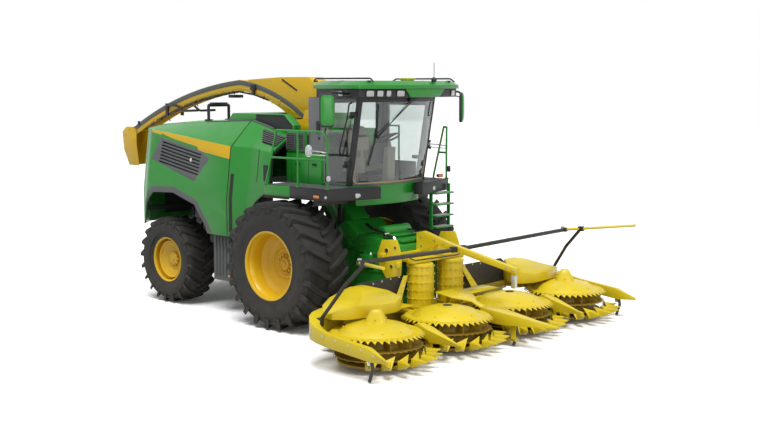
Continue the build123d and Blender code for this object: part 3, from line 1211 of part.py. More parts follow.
with BuildPart() as feed_drum:
    centre = spot(DRUM_X, -DRUM_Y, 0)
    with BuildSketch(Plane(origin=centre, x_dir=(1, 0, 0), z_dir=(0, -1, 0))) as profile:
        low, high = DRUM_LOW - 20 + SWING_GAP, DRUM_HIGH + 20 - SWING_GAP
        with Locations((DRUM_CORE_R / 2, (low + high) / 2)):
            Rectangle(DRUM_CORE_R, high - low)
        for ring in range(6):
            with Locations((DRUM_R / 2, low + 40 + ring * (high - low - 80) / 5)):
                Rectangle(DRUM_R, 30)
    revolve(profile.sketch, axis=Axis(centre, (0, 0, 1)))
    for level in (DRUM_LOW, DRUM_HIGH):
        drum((DRUM_X, -DRUM_Y, level), DRUM_PIN_R + RUNNING_GAP, 61, "z", mode=Mode.SUBTRACT)
save_pair(feed_drum.part, "feed_drum")
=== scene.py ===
"""Studio dressing of a self-propelled forage harvester with a four-rotor maize header.

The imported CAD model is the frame.  Sheet-metal nodes are kept in shape and get rolled
edges, tyres and rims are turned again in full detail, and trim, lamps, glass and small
parts are added.  Metres, +X forward, +Y to the driver's left, +Z up.
"""

from __future__ import annotations

import json
import logging
import math
from contextlib import contextmanager
from dataclasses import dataclass
from enum import Enum
from typing import Callable, Iterable, Iterator, Sequence

import bmesh
import bpy
from mathutils import Matrix, Vector

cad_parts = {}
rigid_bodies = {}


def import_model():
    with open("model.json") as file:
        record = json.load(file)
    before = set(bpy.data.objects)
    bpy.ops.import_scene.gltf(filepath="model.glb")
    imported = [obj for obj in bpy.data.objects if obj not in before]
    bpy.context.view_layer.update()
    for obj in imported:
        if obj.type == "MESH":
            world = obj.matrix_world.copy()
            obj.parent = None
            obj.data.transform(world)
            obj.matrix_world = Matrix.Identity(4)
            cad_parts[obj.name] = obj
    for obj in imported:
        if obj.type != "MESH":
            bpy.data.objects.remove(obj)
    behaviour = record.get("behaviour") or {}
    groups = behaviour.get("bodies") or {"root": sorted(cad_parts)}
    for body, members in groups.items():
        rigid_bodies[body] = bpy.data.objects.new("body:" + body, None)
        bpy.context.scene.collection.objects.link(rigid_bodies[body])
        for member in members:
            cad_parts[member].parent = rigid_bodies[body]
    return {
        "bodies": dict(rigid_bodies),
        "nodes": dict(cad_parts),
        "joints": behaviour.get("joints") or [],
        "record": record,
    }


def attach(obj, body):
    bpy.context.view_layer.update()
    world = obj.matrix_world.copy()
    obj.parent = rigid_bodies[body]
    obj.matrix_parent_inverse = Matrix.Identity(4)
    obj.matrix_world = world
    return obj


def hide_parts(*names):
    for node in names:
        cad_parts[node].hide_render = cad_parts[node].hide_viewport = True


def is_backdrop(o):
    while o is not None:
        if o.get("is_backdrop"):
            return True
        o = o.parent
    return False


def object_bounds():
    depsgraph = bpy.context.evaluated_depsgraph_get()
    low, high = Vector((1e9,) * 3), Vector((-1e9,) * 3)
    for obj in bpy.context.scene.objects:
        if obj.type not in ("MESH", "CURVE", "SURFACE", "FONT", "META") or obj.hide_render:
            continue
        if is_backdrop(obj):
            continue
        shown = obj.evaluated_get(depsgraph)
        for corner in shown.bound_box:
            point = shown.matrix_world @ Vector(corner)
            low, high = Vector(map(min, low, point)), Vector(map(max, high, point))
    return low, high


LOG = logging.getLogger("harvester")
AXLE_X = 0.905           # front axle, from the middle of the machine's outline
FRONT_WHEEL_Z = 1.0371   # height of the front wheels' axis
CREASE_Z = 2.0           # height from which the bodywork's sides lean in
SCREEN_FOOT_Z = 2.31     # height of the windscreen's lower edge
SCREEN_RISE = 1.39       # height of the windscreen
SCREEN_LEAN = 0.245      # how far forward its corners come over that height
SMOOTH_DEG = 40          # faces that meet at less than this are shaded smooth
UP, FORWARD = Vector((0, 0, 1)), Vector((1, 0, 0))
Point = Sequence[float]


class Side(Enum):
    """Side of the machine, as the sign of Y."""

    RIGHT = -1
    LEFT = 1

    @property
    def word(self) -> str:
        """Return the side's name as node names write it."""
        return self.name.lower()


class Grain(Enum):
    """What breaks up a surface."""

    SPRAYED = "orange peel of sprayed enamel"
    MOULDED = "leather grain of moulded plastic"
    TREAD = "matt skin and dust of tyre rubber"
    MILLED = "fine scratches of worn steel"
    WOVEN = "weave of seat cloth"
    CLEAR = "glass"
    SCREEN = "woven wire screen"


@dataclass(frozen=True)
class Finish:
    """One real surface: what it is made of and how it was made."""

    name: str
    slot: str
    colour: str
    second: str
    grain: Grain
    roughness: float = 0.4
    metallic: float = 0.0
    coat: float = 0.0
    pattern_mm: float = 3.0
    bump_mm: float = 0.05
    patch_mm: float = 400.0
    dust: float = 0.0


# Two-pack enamel on sheet steel, sprayed: glossy, with a faint orange peel
GREEN_ENAMEL = Finish("green_two_pack_enamel", "green_paint", "#23922D", "#1E8226", Grain.SPRAYED,
                      roughness=0.36, coat=0.22, pattern_mm=4.0, bump_mm=0.03, dust=0.10)
# The same enamel in yellow, as on rims and spout: warm, with a soft gloss
YELLOW_ENAMEL = Finish("yellow_two_pack_enamel", "yellow_paint", "#E4BA16", "#D9AC10",
                       Grain.SPRAYED,
                       roughness=0.38, coat=0.2, pattern_mm=4.0, bump_mm=0.03, dust=0.10)
# Powder coat of the header: a cooler, lemon yellow
LEMON_POWDER = Finish("lemon_powder_coat", "yellow_paint", "#E4CC1C", "#D9BE14", Grain.SPRAYED,
                      roughness=0.38, coat=0.2, pattern_mm=5.0, bump_mm=0.04, dust=0.10)
# The header's powder coat darkened as painted shade, where little light falls under the discs and
# on the pan
PAINTED_SHADE_POWDER = Finish("crop_stained_powder_coat", "yellow_paint", "#B4921A", "#8E7216",
                        Grain.SPRAYED,
                        roughness=0.5, pattern_mm=6.0, bump_mm=0.08, patch_mm=120, dust=0.2)
# Glass-filled polypropylene, moulded with a fine leather grain: dull, bluish grey
GREY_MOULDING = Finish("grey_moulded_polypropylene", "graphite_paint", "#66696A", "#5A5D5E",
                       Grain.MOULDED, roughness=0.55, pattern_mm=6.0, bump_mm=0.10, dust=0.2)
# Powder-coated steel in near black: satin with soft highlights
BLACK_POWDER = Finish("black_powder_coat", "black_paint", "#1F2022", "#191A1C", Grain.MOULDED,
                      roughness=0.42, pattern_mm=5.0, bump_mm=0.05, dust=0.25)
# Chassis paint, dark and dusty
CHASSIS_PAINT = Finish("dark_chassis_paint", "graphite_paint", "#2A2D2C", "#222524", Grain.SPRAYED,
                       roughness=0.5, pattern_mm=8.0, bump_mm=0.06, dust=0.3)
# Cured tyre rubber, moulded: charcoal, matt, paler where dust has settled
TYRE_RUBBER = Finish("moulded_tyre_rubber", "tyre", "#2E2E2D", "#232322", Grain.TREAD,
                     roughness=0.74, pattern_mm=9.0, bump_mm=0.35, patch_mm=180, dust=0.16)
# Fabric-reinforced rubber sheet
RUBBER_SHEET = Finish("reinforced_rubber_sheet", "rubber", "#2F2D2A", "#262422", Grain.MOULDED,
                      roughness=0.7, pattern_mm=7.0, bump_mm=0.2, dust=0.2)
# Moulded ABS, black, of mirrors, lamps and consoles
BLACK_ABS = Finish("black_moulded_abs", "plastic", "#232426", "#1C1D1F", Grain.MOULDED,
                   roughness=0.45, pattern_mm=5.0, bump_mm=0.06)
# Warm grey trim of the cab, moulded
BEIGE_TRIM = Finish("warm_grey_cab_trim", "grey_paint", "#A79F8F", "#9A9283", Grain.MOULDED,
                    roughness=0.6, pattern_mm=6.0, bump_mm=0.08)
# Cab frame, painted light grey
PILLAR_GREY = Finish("grey_pillar_enamel", "grey_paint", "#77797B", "#6E7072", Grain.SPRAYED,
                     roughness=0.42, coat=0.2, pattern_mm=4.0, bump_mm=0.03)
# Float glass, slightly tinted
CAB_GLASS = Finish("tinted_float_glass", "glass", "#DCE3E1", "#DCE3E1", Grain.CLEAR, roughness=0.02)
# Extruded rubber seal in tan
SEAL_TAN = Finish("tan_rubber_seal", "rubber", "#B9A284", "#AC9576", Grain.MOULDED,
                  roughness=0.65, pattern_mm=6.0, bump_mm=0.08)
# Hard chrome on cylinder rods
CHROME = Finish("hard_chrome_plate", "chrome_rod", "#D9DADC", "#CFD0D2", Grain.MILLED,
                roughness=0.12, metallic=1.0, pattern_mm=2.0, bump_mm=0.005)
# Zinc-plated brackets and bolt heads
ZINC = Finish("zinc_plated_steel", "chrome_rod", "#C4C3BC", "#B5B4AC", Grain.MILLED,
              roughness=0.4, metallic=0.9, pattern_mm=3.0, bump_mm=0.03)
# Seat cloth, woven from thick yarn in warm grey
SEAT_CLOTH = Finish("woven_seat_cloth", "seat_cloth", "#A0947F", "#85796A", Grain.WOVEN,
                    roughness=0.9, pattern_mm=8.0, bump_mm=0.6)
# Woven wire screen, painted dark
WIRE_SCREEN = Finish("dark_woven_wire_screen", "graphite_paint", "#2B3330", "#0B0E0D", Grain.SCREEN,
                     roughness=0.6, pattern_mm=14.0, bump_mm=0.8)
# Moulded polycarbonate lenses
CLEAR_LENS = Finish("clear_polycarbonate_lens", "glass", "#C9CED0", "#AEB5B8", Grain.MOULDED,
                    roughness=0.12, coat=1.0, pattern_mm=12.0, bump_mm=0.4)
AMBER_LENS = Finish("amber_polycarbonate_lens", "glass", "#F08A24", "#D96F12", Grain.MOULDED,
                    roughness=0.15, coat=1.0, pattern_mm=10.0, bump_mm=0.4)
RED_LENS = Finish("red_polycarbonate_lens", "glass", "#B3201C", "#9A1815", Grain.MOULDED,
                  roughness=0.15, coat=1.0, pattern_mm=10.0, bump_mm=0.4)
YELLOW_LENS = Finish("yellow_beacon_lens", "glass", "#E9E23A", "#D6CC1F", Grain.MOULDED,
                     roughness=0.15, coat=1.0, pattern_mm=12.0, bump_mm=0.4)


def linear(code: str) -> tuple[float, float, float, float]:
    """Turn an sRGB hex colour into linear RGBA.

    Args:
        code: Colour as #RRGGBB.

    Returns:
        Linear red, green, blue and an alpha of one.
    """
    def channel(value: float) -> float:
        """Return one channel in linear light."""
        return value / 12.92 if value <= 0.04045 else ((value + 0.055) / 1.055) ** 2.4

    parts = [channel(int(code[i:i + 2], 16) / 255) for i in (1, 3, 5)]
    return (parts[0], parts[1], parts[2], 1.0)


def add_node(tree: bpy.types.NodeTree, kind: str, settings: dict | None = None,
             links: dict | None = None) -> bpy.types.Node:
    """Add a shader node, set it up and link its inputs.

    Args:
        tree: Node tree that takes the node.
        kind: Blender's identifier of the node.
        settings: Values for attributes, or for inputs by name or number.
        links: Output sockets for inputs by name or number.

    Returns:
        The new node.
    """
    node = tree.nodes.new(kind)
    for key, value in (settings or {}).items():
        if isinstance(key, str) and hasattr(node, key):
            setattr(node, key, value)
        else:
            node.inputs[key].default_value = value
    for key, socket in (links or {}).items():
        tree.links.new(socket, node.inputs[key])
    return node


class Paintshop:
    """Builds each finish's material once and hands it out."""

    def __init__(self) -> None:
        """Start with no materials."""
        self.made: dict[str, bpy.types.Material] = {}

    def material(self, finish: Finish) -> bpy.types.Material:
        """Return the material of a finish.

        Args:
            finish: What the surface is made of.

        Returns:
            The node-based material.
        """
        if finish.name not in self.made:
            self.made[finish.name] = self._build(finish)
        return self.made[finish.name]

    def _build(self, finish: Finish) -> bpy.types.Material:
        """Build the node tree of a finish."""
        material = bpy.data.materials.new(finish.name)
        material.use_nodes = True
        tree = material.node_tree
        shader = tree.nodes["Principled BSDF"]
        shader.inputs["Roughness"].default_value = finish.roughness
        shader.inputs["Metallic"].default_value = finish.metallic
        shader.inputs["Coat Weight"].default_value = finish.coat
        shader.inputs["Coat Roughness"].default_value = 0.12
        shader.inputs["Specular IOR Level"].default_value = 0.35
        if finish.grain is Grain.CLEAR:
            shader.inputs["Base Color"].default_value = linear(finish.colour)
            shader.inputs["Transmission Weight"].default_value = 1.0
            shader.inputs["IOR"].default_value = 1.5
            return material
        place = add_node(tree, "ShaderNodeTexCoord").outputs["Object"]
        patches = add_node(tree, "ShaderNodeTexNoise",
                           {"Scale": 1000 / finish.patch_mm, "Detail": 5.0, "Roughness": 0.6},
                           {"Vector": place}).outputs["Fac"]
        colour = add_node(tree, "ShaderNodeMix", {"data_type": "RGBA", 6: linear(finish.colour),
                                                  7: linear(finish.second)},
                          {0: patches}).outputs[2]
        fine = self._pattern(tree, finish, place)
        if finish.grain in (Grain.WOVEN, Grain.SCREEN):
            colour = add_node(tree, "ShaderNodeMix",
                              {"data_type": "RGBA", 6: linear(finish.second),
                               7: linear(finish.colour)}, {0: fine}).outputs[2]
        if finish.dust:
            colour = self._dust(tree, finish, place, colour)
        tree.links.new(colour, shader.inputs["Base Color"])
        gloss = add_node(tree, "ShaderNodeMapRange",
                         {"To Min": finish.roughness * 0.85,
                          "To Max": min(1, finish.roughness * 1.2)},
                         {"Value": patches}).outputs[0]
        tree.links.new(gloss, shader.inputs["Roughness"])
        bump = add_node(tree, "ShaderNodeBump",
                        {"Strength": 0.6, "Distance": finish.bump_mm / 1000},
                        {"Height": fine})
        tree.links.new(bump.outputs[0], shader.inputs["Normal"])
        return material

    def _pattern(self, tree: bpy.types.NodeTree, finish: Finish,
                 place: bpy.types.NodeSocket) -> bpy.types.NodeSocket:
        """Return the height pattern that the finish's grain gives."""
        scale = 1000 / finish.pattern_mm
        if finish.grain in (Grain.WOVEN, Grain.SCREEN):
            turns = [add_node(tree, "ShaderNodeTexWave",
                              {"bands_direction": axis, "Scale": scale / 3.2, "Distortion": 0.4},
                              {"Vector": place}).outputs["Fac"] for axis in ("X", "Z")]
            return add_node(tree, "ShaderNodeMath", {"operation": "MAXIMUM"},
                            {0: turns[0], 1: turns[1]}).outputs[0]
        if finish.grain is Grain.MOULDED:
            return add_node(tree, "ShaderNodeTexVoronoi", {"Scale": scale},
                            {"Vector": place}).outputs["Distance"]
        return add_node(tree, "ShaderNodeTexNoise", {"Scale": scale, "Detail": 3.0},
                        {"Vector": place}).outputs["Fac"]

    def _dust(self, tree: bpy.types.NodeTree, finish: Finish, place: bpy.types.NodeSocket,
              colour: bpy.types.NodeSocket) -> bpy.types.NodeSocket:
        """Lay field dust over the lower part of the machine."""
        height = add_node(tree, "ShaderNodeSeparateXYZ", None, {0: place}).outputs["Z"]
        low = add_node(tree, "ShaderNodeMapRange",
                       {"From Min": 2.2, "From Max": 0.0, "To Min": 0.0, "To Max": finish.dust},
                       {"Value": height}).outputs[0]
        cloud = add_node(tree, "ShaderNodeTexNoise", {"Scale": 9.0, "Detail": 6.0},
                         {"Vector": place}).outputs["Fac"]
        amount = add_node(tree, "ShaderNodeMath", {"operation": "MULTIPLY"}, {0: low, 1: cloud})
        return add_node(tree, "ShaderNodeMix", {"data_type": "RGBA", 7: linear("#8C8472")},
                        {0: amount.outputs[0], 6: colour}).outputs[2]


SHOP = Paintshop()


def at(x: float, y: float, z: float) -> Vector:
    """Return a place given from the front axle, in the machine's frame."""
    return Vector((AXLE_X + x, y, z))


def clear_selection() -> None:
    """Leave edit mode and deselect everything."""
    if bpy.context.object and bpy.context.object.mode != "OBJECT":
        bpy.ops.object.mode_set(mode="OBJECT")
    bpy.ops.object.select_all(action="DESELECT")


def activate(piece: bpy.types.Object) -> None:
    """Make one piece the only selected and the active one."""
    clear_selection()
    piece.select_set(True)
    bpy.context.view_layer.objects.active = piece


@contextmanager
def editing(piece: bpy.types.Object) -> Iterator[None]:
    """Open a piece's mesh with all of it selected, and close it afterwards."""
    activate(piece)
    bpy.ops.object.mode_set(mode="EDIT")
    bpy.ops.mesh.select_all(action="SELECT")
    yield
    bpy.ops.object.mode_set(mode="OBJECT")


def close_form(weld: float = 0.0) -> bpy.types.Object:
    """Weld the open form's doubled points, turn its faces outward and leave edit mode."""
    bpy.ops.mesh.select_all(action="SELECT")
    if weld:
        bpy.ops.mesh.remove_doubles(threshold=weld)
    bpy.ops.mesh.normals_make_consistent(inside=False)
    bpy.ops.object.mode_set(mode="OBJECT")
    return bpy.context.object


def shade(piece: bpy.types.Object, angle: float = SMOOTH_DEG) -> bpy.types.Object:
    """Shade a piece smooth, apart from edges that turn by more than an angle in degrees."""
    activate(piece)
    bpy.ops.object.shade_smooth_by_angle(angle=math.radians(angle))
    return piece


def started(name: str) -> bpy.types.Object:
    """Name the piece that was just added, and its mesh."""
    piece = bpy.context.object
    piece.name = piece.data.name = name
    return piece


def start_cube(name: str, low: Point, high: Point) -> bpy.types.Object:
    """Add a cube at its size and place, as the start of a piece.

    Args:
        name: Name of the piece.
        low: Lowest corner, in metres from the front axle.
        high: Highest corner.

    Returns:
        The new object, with its size applied.
    """
    clear_selection()
    a, b = at(*low), at(*high)
    bpy.ops.mesh.primitive_cube_add(size=1, location=(a + b) / 2)
    piece = started(name)
    piece.scale = [abs(v) for v in b - a]
    settle(piece)
    return piece


def settle(piece: bpy.types.Object) -> None:
    """Put a piece's place, turn and size into its mesh."""
    activate(piece)
    bpy.ops.object.transform_apply(location=True, rotation=True, scale=True)


def start_round(name: str, centre: Point, radius: float, depth: float, axis: Point = (0, 1, 0),
                sides: int = 32) -> bpy.types.Object:
    """Add a cylinder at its size and place, as the start of a piece.

    Args:
        name: Name of the piece.
        centre: Middle, in metres from the front axle.
        radius: Radius.
        depth: Length along the axis.
        axis: Direction of the axis.
        sides: Number of facets.

    Returns:
        The new object.
    """
    clear_selection()
    turn = Vector(axis).to_track_quat("Z", "Y").to_euler()
    bpy.ops.mesh.primitive_cylinder_add(vertices=sides, radius=radius, depth=depth,
                                        location=at(*centre), rotation=turn)
    piece = started(name)
    settle(piece)
    return piece


def chain(name: str, points: Sequence[Vector]) -> bpy.types.Object:
    """Draw a line of edges by extruding one vertex from point to point.

    Args:
        name: Name of the piece.
        points: Places in the machine's frame.

    Returns:
        The object, left in edit mode with all of it selected.
    """
    clear_selection()
    bpy.ops.mesh.primitive_plane_add(size=0.01, location=(0, 0, 0))
    piece = started(name)
    bpy.ops.object.mode_set(mode="EDIT")
    bpy.ops.mesh.merge(type="CENTER")
    bpy.ops.transform.translate(value=points[0])
    for before, after in zip(points, points[1:]):
        bpy.ops.mesh.extrude_region_move(TRANSFORM_OT_translate={"value": after - before})
    bpy.ops.mesh.select_all(action="SELECT")
    return piece


def plate(name: str, points: Sequence[Vector], rise: Vector) -> bpy.types.Object:
    """Cut a flat plate to an outline and give it its thickness.

    Args:
        name: Name of the piece.
        points: Corners in order, in the machine's frame.
        rise: Thickness as a vector.

    Returns:
        The new object.
    """
    chain(name, points)
    bpy.ops.mesh.edge_face_add()
    bpy.ops.mesh.extrude_region_move(TRANSFORM_OT_translate={"value": rise})
    return close_form()


def lathe(name: str, centre: Vector, axis: Vector, outward: Vector,
          profile: Iterable[tuple[float, float]], steps: int = 96) -> bpy.types.Object:
    """Turn a closed or open profile about an axis.

    Args:
        name: Name of the piece.
        centre: A point on the axis, in the machine's frame.
        axis: Unit direction of the axis.
        outward: Unit direction away from the axis, in the profile's plane.
        profile: Distance along the axis and radius of each point.
        steps: Number of facets round.

    Returns:
        The new object.
    """
    chain(name, [centre + axis * along + outward * radius for along, radius in profile])
    bpy.ops.mesh.spin(steps=steps, angle=2 * math.pi, center=centre, axis=axis)
    return close_form(0.0004)


def loft(name: str, sections: Sequence[Sequence[Vector]]) -> bpy.types.Object:
    """Draw an outline out through others that follow it, as one closed form.

    Args:
        name: Name of the piece.
        sections: Outlines with the same number of corners, in order.

    Returns:
        The new object, its faces outward.
    """
    clear_selection()
    bpy.ops.mesh.primitive_circle_add(vertices=len(sections[0]), fill_type="NGON",
                                      location=(0, 0, 0))
    piece = started(name)
    for vertex, corner in zip(piece.data.vertices, sections[0]):
        vertex.co = corner
    bpy.ops.object.mode_set(mode="EDIT")
    bpy.ops.mesh.select_all(action="SELECT")
    for before, after in zip(sections, sections[1:]):
        bpy.ops.mesh.extrude_region_move()
        mesh = bmesh.from_edit_mesh(piece.data)
        free = list(range(len(before)))
        for vertex in [v for v in mesh.verts if v.select]:
            nearest = min(free, key=lambda k: (before[k] - vertex.co).length_squared)
            free.remove(nearest)
            vertex.co = after[nearest]
        bmesh.update_edit_mesh(piece.data)
    return close_form()


def strip(name: str, points: Sequence[Point], across: Point, rise: Point) -> bpy.types.Object:
    """Run a flat bar along places given from the front axle.

    Args:
        name: Name of the piece.
        points: Its centre line.
        across: Half of its width, as a vector.
        rise: Half of its thickness, as a vector.

    Returns:
        The new object.
    """
    a, b = Vector(across), Vector(rise)
    return loft(name,
                [[at(*p) - a - b, at(*p) + a - b, at(*p) + a + b, at(*p) - a + b] for p in points])


def ring_of(centre: Vector, across: Vector, rise: Vector, sides: int = 20,
            square: float = 0.0) -> list[Vector]:
    """Return the corners of a rounded outline.

    Args:
        centre: Its middle.
        across: Half width as a vector.
        rise: Half height as a vector.
        sides: Number of corners.
        square: From 0, an ellipse, to 1, a rectangle with small corners.

    Returns:
        The corners in order.
    """
    power = 1 - 0.82 * square
    turns = [2 * math.pi * (k + 0.5) / sides for k in range(sides)]
    return [centre + across * math.copysign(abs(math.cos(t)) ** power, math.cos(t))
            + rise * math.copysign(abs(math.sin(t)) ** power, math.sin(t)) for t in turns]


def slab(name: str, low: Point, high: Point, edge: float = 0.004) -> bpy.types.Object:
    """Cut a block to size and break its edges."""
    return roll_edges(start_cube(name, low, high), edge)


def recess(piece: bpy.types.Object, look: Point, margin: float, depth: float) -> bpy.types.Object:
    """Sink the faces that look one way, inside a margin.

    Args:
        piece: The object.
        look: Direction of the faces.
        margin: Width of the rim that stays.
        depth: How far they sink; less than zero raises them.

    Returns:
        The same object.
    """
    activate(piece)
    way = Vector(look).normalized()
    bpy.ops.object.mode_set(mode="EDIT")
    bpy.ops.mesh.select_mode(type="FACE")
    bpy.ops.mesh.select_all(action="DESELECT")
    mesh = bmesh.from_edit_mesh(piece.data)
    for face in mesh.faces:
        if face.normal.dot(way) > 0.95:
            face.select_set(True)
    bmesh.update_edit_mesh(piece.data)
    bpy.ops.mesh.inset(thickness=margin, depth=0)
    bpy.ops.transform.translate(value=-way * depth)
    bpy.ops.mesh.select_mode(type="VERT")
    bpy.ops.object.mode_set(mode="OBJECT")
    return piece


def rod(name: str, points: Sequence[Point], radius: float, sides: int = 12) -> bpy.types.Object:
    """Bend a round bar through places given from the front axle.

    Args:
        name: Name of the piece.
        points: Corners of its centre line, in metres from the front axle.
        radius: Radius of the bar.
        sides: Facets round it.

    Returns:
        The new object, a mesh with closed ends.
    """
    clear_selection()
    curve = bpy.data.curves.new(name, "CURVE")
    curve.dimensions = "3D"
    curve.bevel_depth = radius
    curve.bevel_resolution = max(1, sides // 4 - 1)
    curve.use_fill_caps = True
    spline = curve.splines.new("POLY")
    places = round_corners([at(*p) for p in points], 2.2 * radius)
    spline.points.add(len(places) - 1)
    for point, place in zip(spline.points, places):
        point.co = (*place, 1)
    piece = bpy.data.objects.new(name, curve)
    bpy.context.scene.collection.objects.link(piece)
    activate(piece)
    bpy.ops.object.convert(target="MESH")
    bpy.ops.object.mode_set(mode="EDIT")
    return close_form(0.0002)


def round_corners(points: list[Vector], reach: float) -> list[Vector]:
    """Swap each inner corner of a bar's line for a short bend."""
    rounded = [points[0]]
    for before, corner, after in zip(points, points[1:], points[2:]):
        back, on = before - corner, after - corner
        step = min(reach, 0.4 * back.length, 0.4 * on.length)
        start, end = corner + back.normalized() * step, corner + on.normalized() * step
        rounded += [start.lerp(corner, t).lerp(corner.lerp(end, t), t) for t in (0, 0.25, 0.5, 0.75,
                                                                                 1)]
    return rounded + [points[-1]]


def modify(piece: bpy.types.Object, kind: str, **settings: object) -> None:
    """Give a piece a modifier and apply it.

    Args:
        piece: The object.
        kind: Blender's identifier of the modifier.
        settings: Values of its attributes.
    """
    activate(piece)
    modifier = piece.modifiers.new(kind.title(), kind)
    for key, value in settings.items():
        setattr(modifier, key, value)
    bpy.ops.object.modifier_apply(modifier=modifier.name)


def roll_edges(piece: bpy.types.Object, width: float, segments: int = 2,
               angle: float = 30) -> bpy.types.Object:
    """Round a piece's sharp edges and shade it smooth between them."""
    modify(piece, "BEVEL", width=width, segments=segments, limit_method="ANGLE",
           angle_limit=math.radians(angle), use_clamp_overlap=True, harden_normals=False)
    return shade(piece)


def dress(piece: bpy.types.Object, finish: Finish, body: str) -> bpy.types.Object:
    """Give a piece its finish and let it ride on a body.

    Args:
        piece: The object.
        finish: Its surface.
        body: Name of the CAD body that carries it.

    Returns:
        The same object.
    """
    piece.data.materials.clear()
    piece.data.materials.append(SHOP.material(finish))
    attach(piece, body)
    return piece


def paint_where(piece: bpy.types.Object, finish: Finish,
                test: Callable[[Vector, Vector], bool]) -> None:
    """Give the faces that pass a test another finish.

    Args:
        piece: The object.
        finish: Finish of the chosen faces.
        test: Takes a face's centre, from the front axle, and its normal.
    """
    piece.data.materials.append(SHOP.material(finish))
    index = len(piece.data.materials) - 1
    shift = Vector((AXLE_X, 0, 0))
    for face in piece.data.polygons:
        if test(face.center - shift, face.normal):
            face.material_index = index


def join(name: str, pieces: list[bpy.types.Object]) -> bpy.types.Object:
    """Join pieces of one finish into one object."""
    clear_selection()
    for piece in pieces:
        piece.select_set(True)
    bpy.context.view_layer.objects.active = pieces[0]
    if len(pieces) > 1:
        bpy.ops.object.join()
    pieces[0].name = pieces[0].data.name = name
    return pieces[0]


def group(name: str, pieces: Iterable[bpy.types.Object], finish: Finish,
          body: str = "machine") -> bpy.types.Object:
    """Join pieces into one, with a finish, on a body."""
    return dress(join(name, pieces), finish, body)


def both_sides(pieces: list[bpy.types.Object]) -> list[bpy.types.Object]:
    """Add to pieces their mirror images on the machine's other side."""
    return pieces + [mirrored(piece, piece.name + "_twin") for piece in pieces]


def copy_at(piece: bpy.types.Object, name: str, move: Matrix) -> bpy.types.Object:
    """Copy a piece with a mesh of its own and move the copy."""
    twin = piece.copy()
    twin.data = piece.data.copy()
    twin.name = twin.data.name = name
    bpy.context.scene.collection.objects.link(twin)
    twin.data.transform(move)
    if move.determinant() < 0:
        twin.data.flip_normals()
    return twin


def mirrored(piece: bpy.types.Object, name: str) -> bpy.types.Object:
    """Copy a piece to the other side of the machine."""
    return copy_at(piece, name, Matrix.Scale(-1, 4, (0, 1, 0)))


def hex_head(name: str, place: Vector, axis: Vector, radius: float,
             rise: float) -> bpy.types.Object:
    """Build a chamfered bolt head on its washer.

    Args:
        name: Name of the piece.
        place: Where its washer lies.
        axis: Direction it stands up in.
        radius: Half of its width across corners.
        rise: Its height.

    Returns:
        The head, without a finish.
    """
    side = axis.orthogonal().normalized()
    other = axis.cross(side)
    rows = []
    for share, height in ((1.45, 0.0), (1.45, 0.18), (1.0, 0.19), (1.0, 0.85), (0.85, 1.0)):
        rows.append([place + axis * height * rise
                     + (side * math.cos(a) + other * math.sin(a)) * radius * share
                     for a in (math.pi * k / 3 for k in range(6))])
    return loft(name, rows)


def bolt_row(name: str, places: Sequence[Point], axis: Point, radius: float = 0.011,
             rise: float = 0.010) -> bpy.types.Object:
    """Set like bolt heads at places given from the front axle."""
    way = Vector(axis).normalized()
    model = hex_head(name, Vector((0, 0, 0)), way, radius, rise)
    heads = [copy_at(model, name, Matrix.Translation(at(*place))) for place in places]
    bpy.data.objects.remove(model)
    return join(name, heads)


@dataclass
class CadShell:
    """A CAD node kept in shape, with its sheet edges rolled."""

    node: str
    body: str
    finish: Finish
    edge: float

    def build(self, frame: dict) -> bpy.types.Object:
        """Copy the node's mesh, merge its triangles and round its edges.


        Returns:
            The piece that stands for the node.
        """
        source = frame["nodes"][self.node]
        piece = bpy.data.objects.new(f"{self.node}_shell", source.data.copy())
        bpy.context.scene.collection.objects.link(piece)
        with editing(piece):
            bpy.ops.mesh.remove_doubles(threshold=0.0001)
            bpy.ops.mesh.dissolve_limited(angle_limit=math.radians(1.0))
        roll_edges(piece, self.edge)
        dress(piece, self.finish, self.body)
        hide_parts(self.node)
        return piece


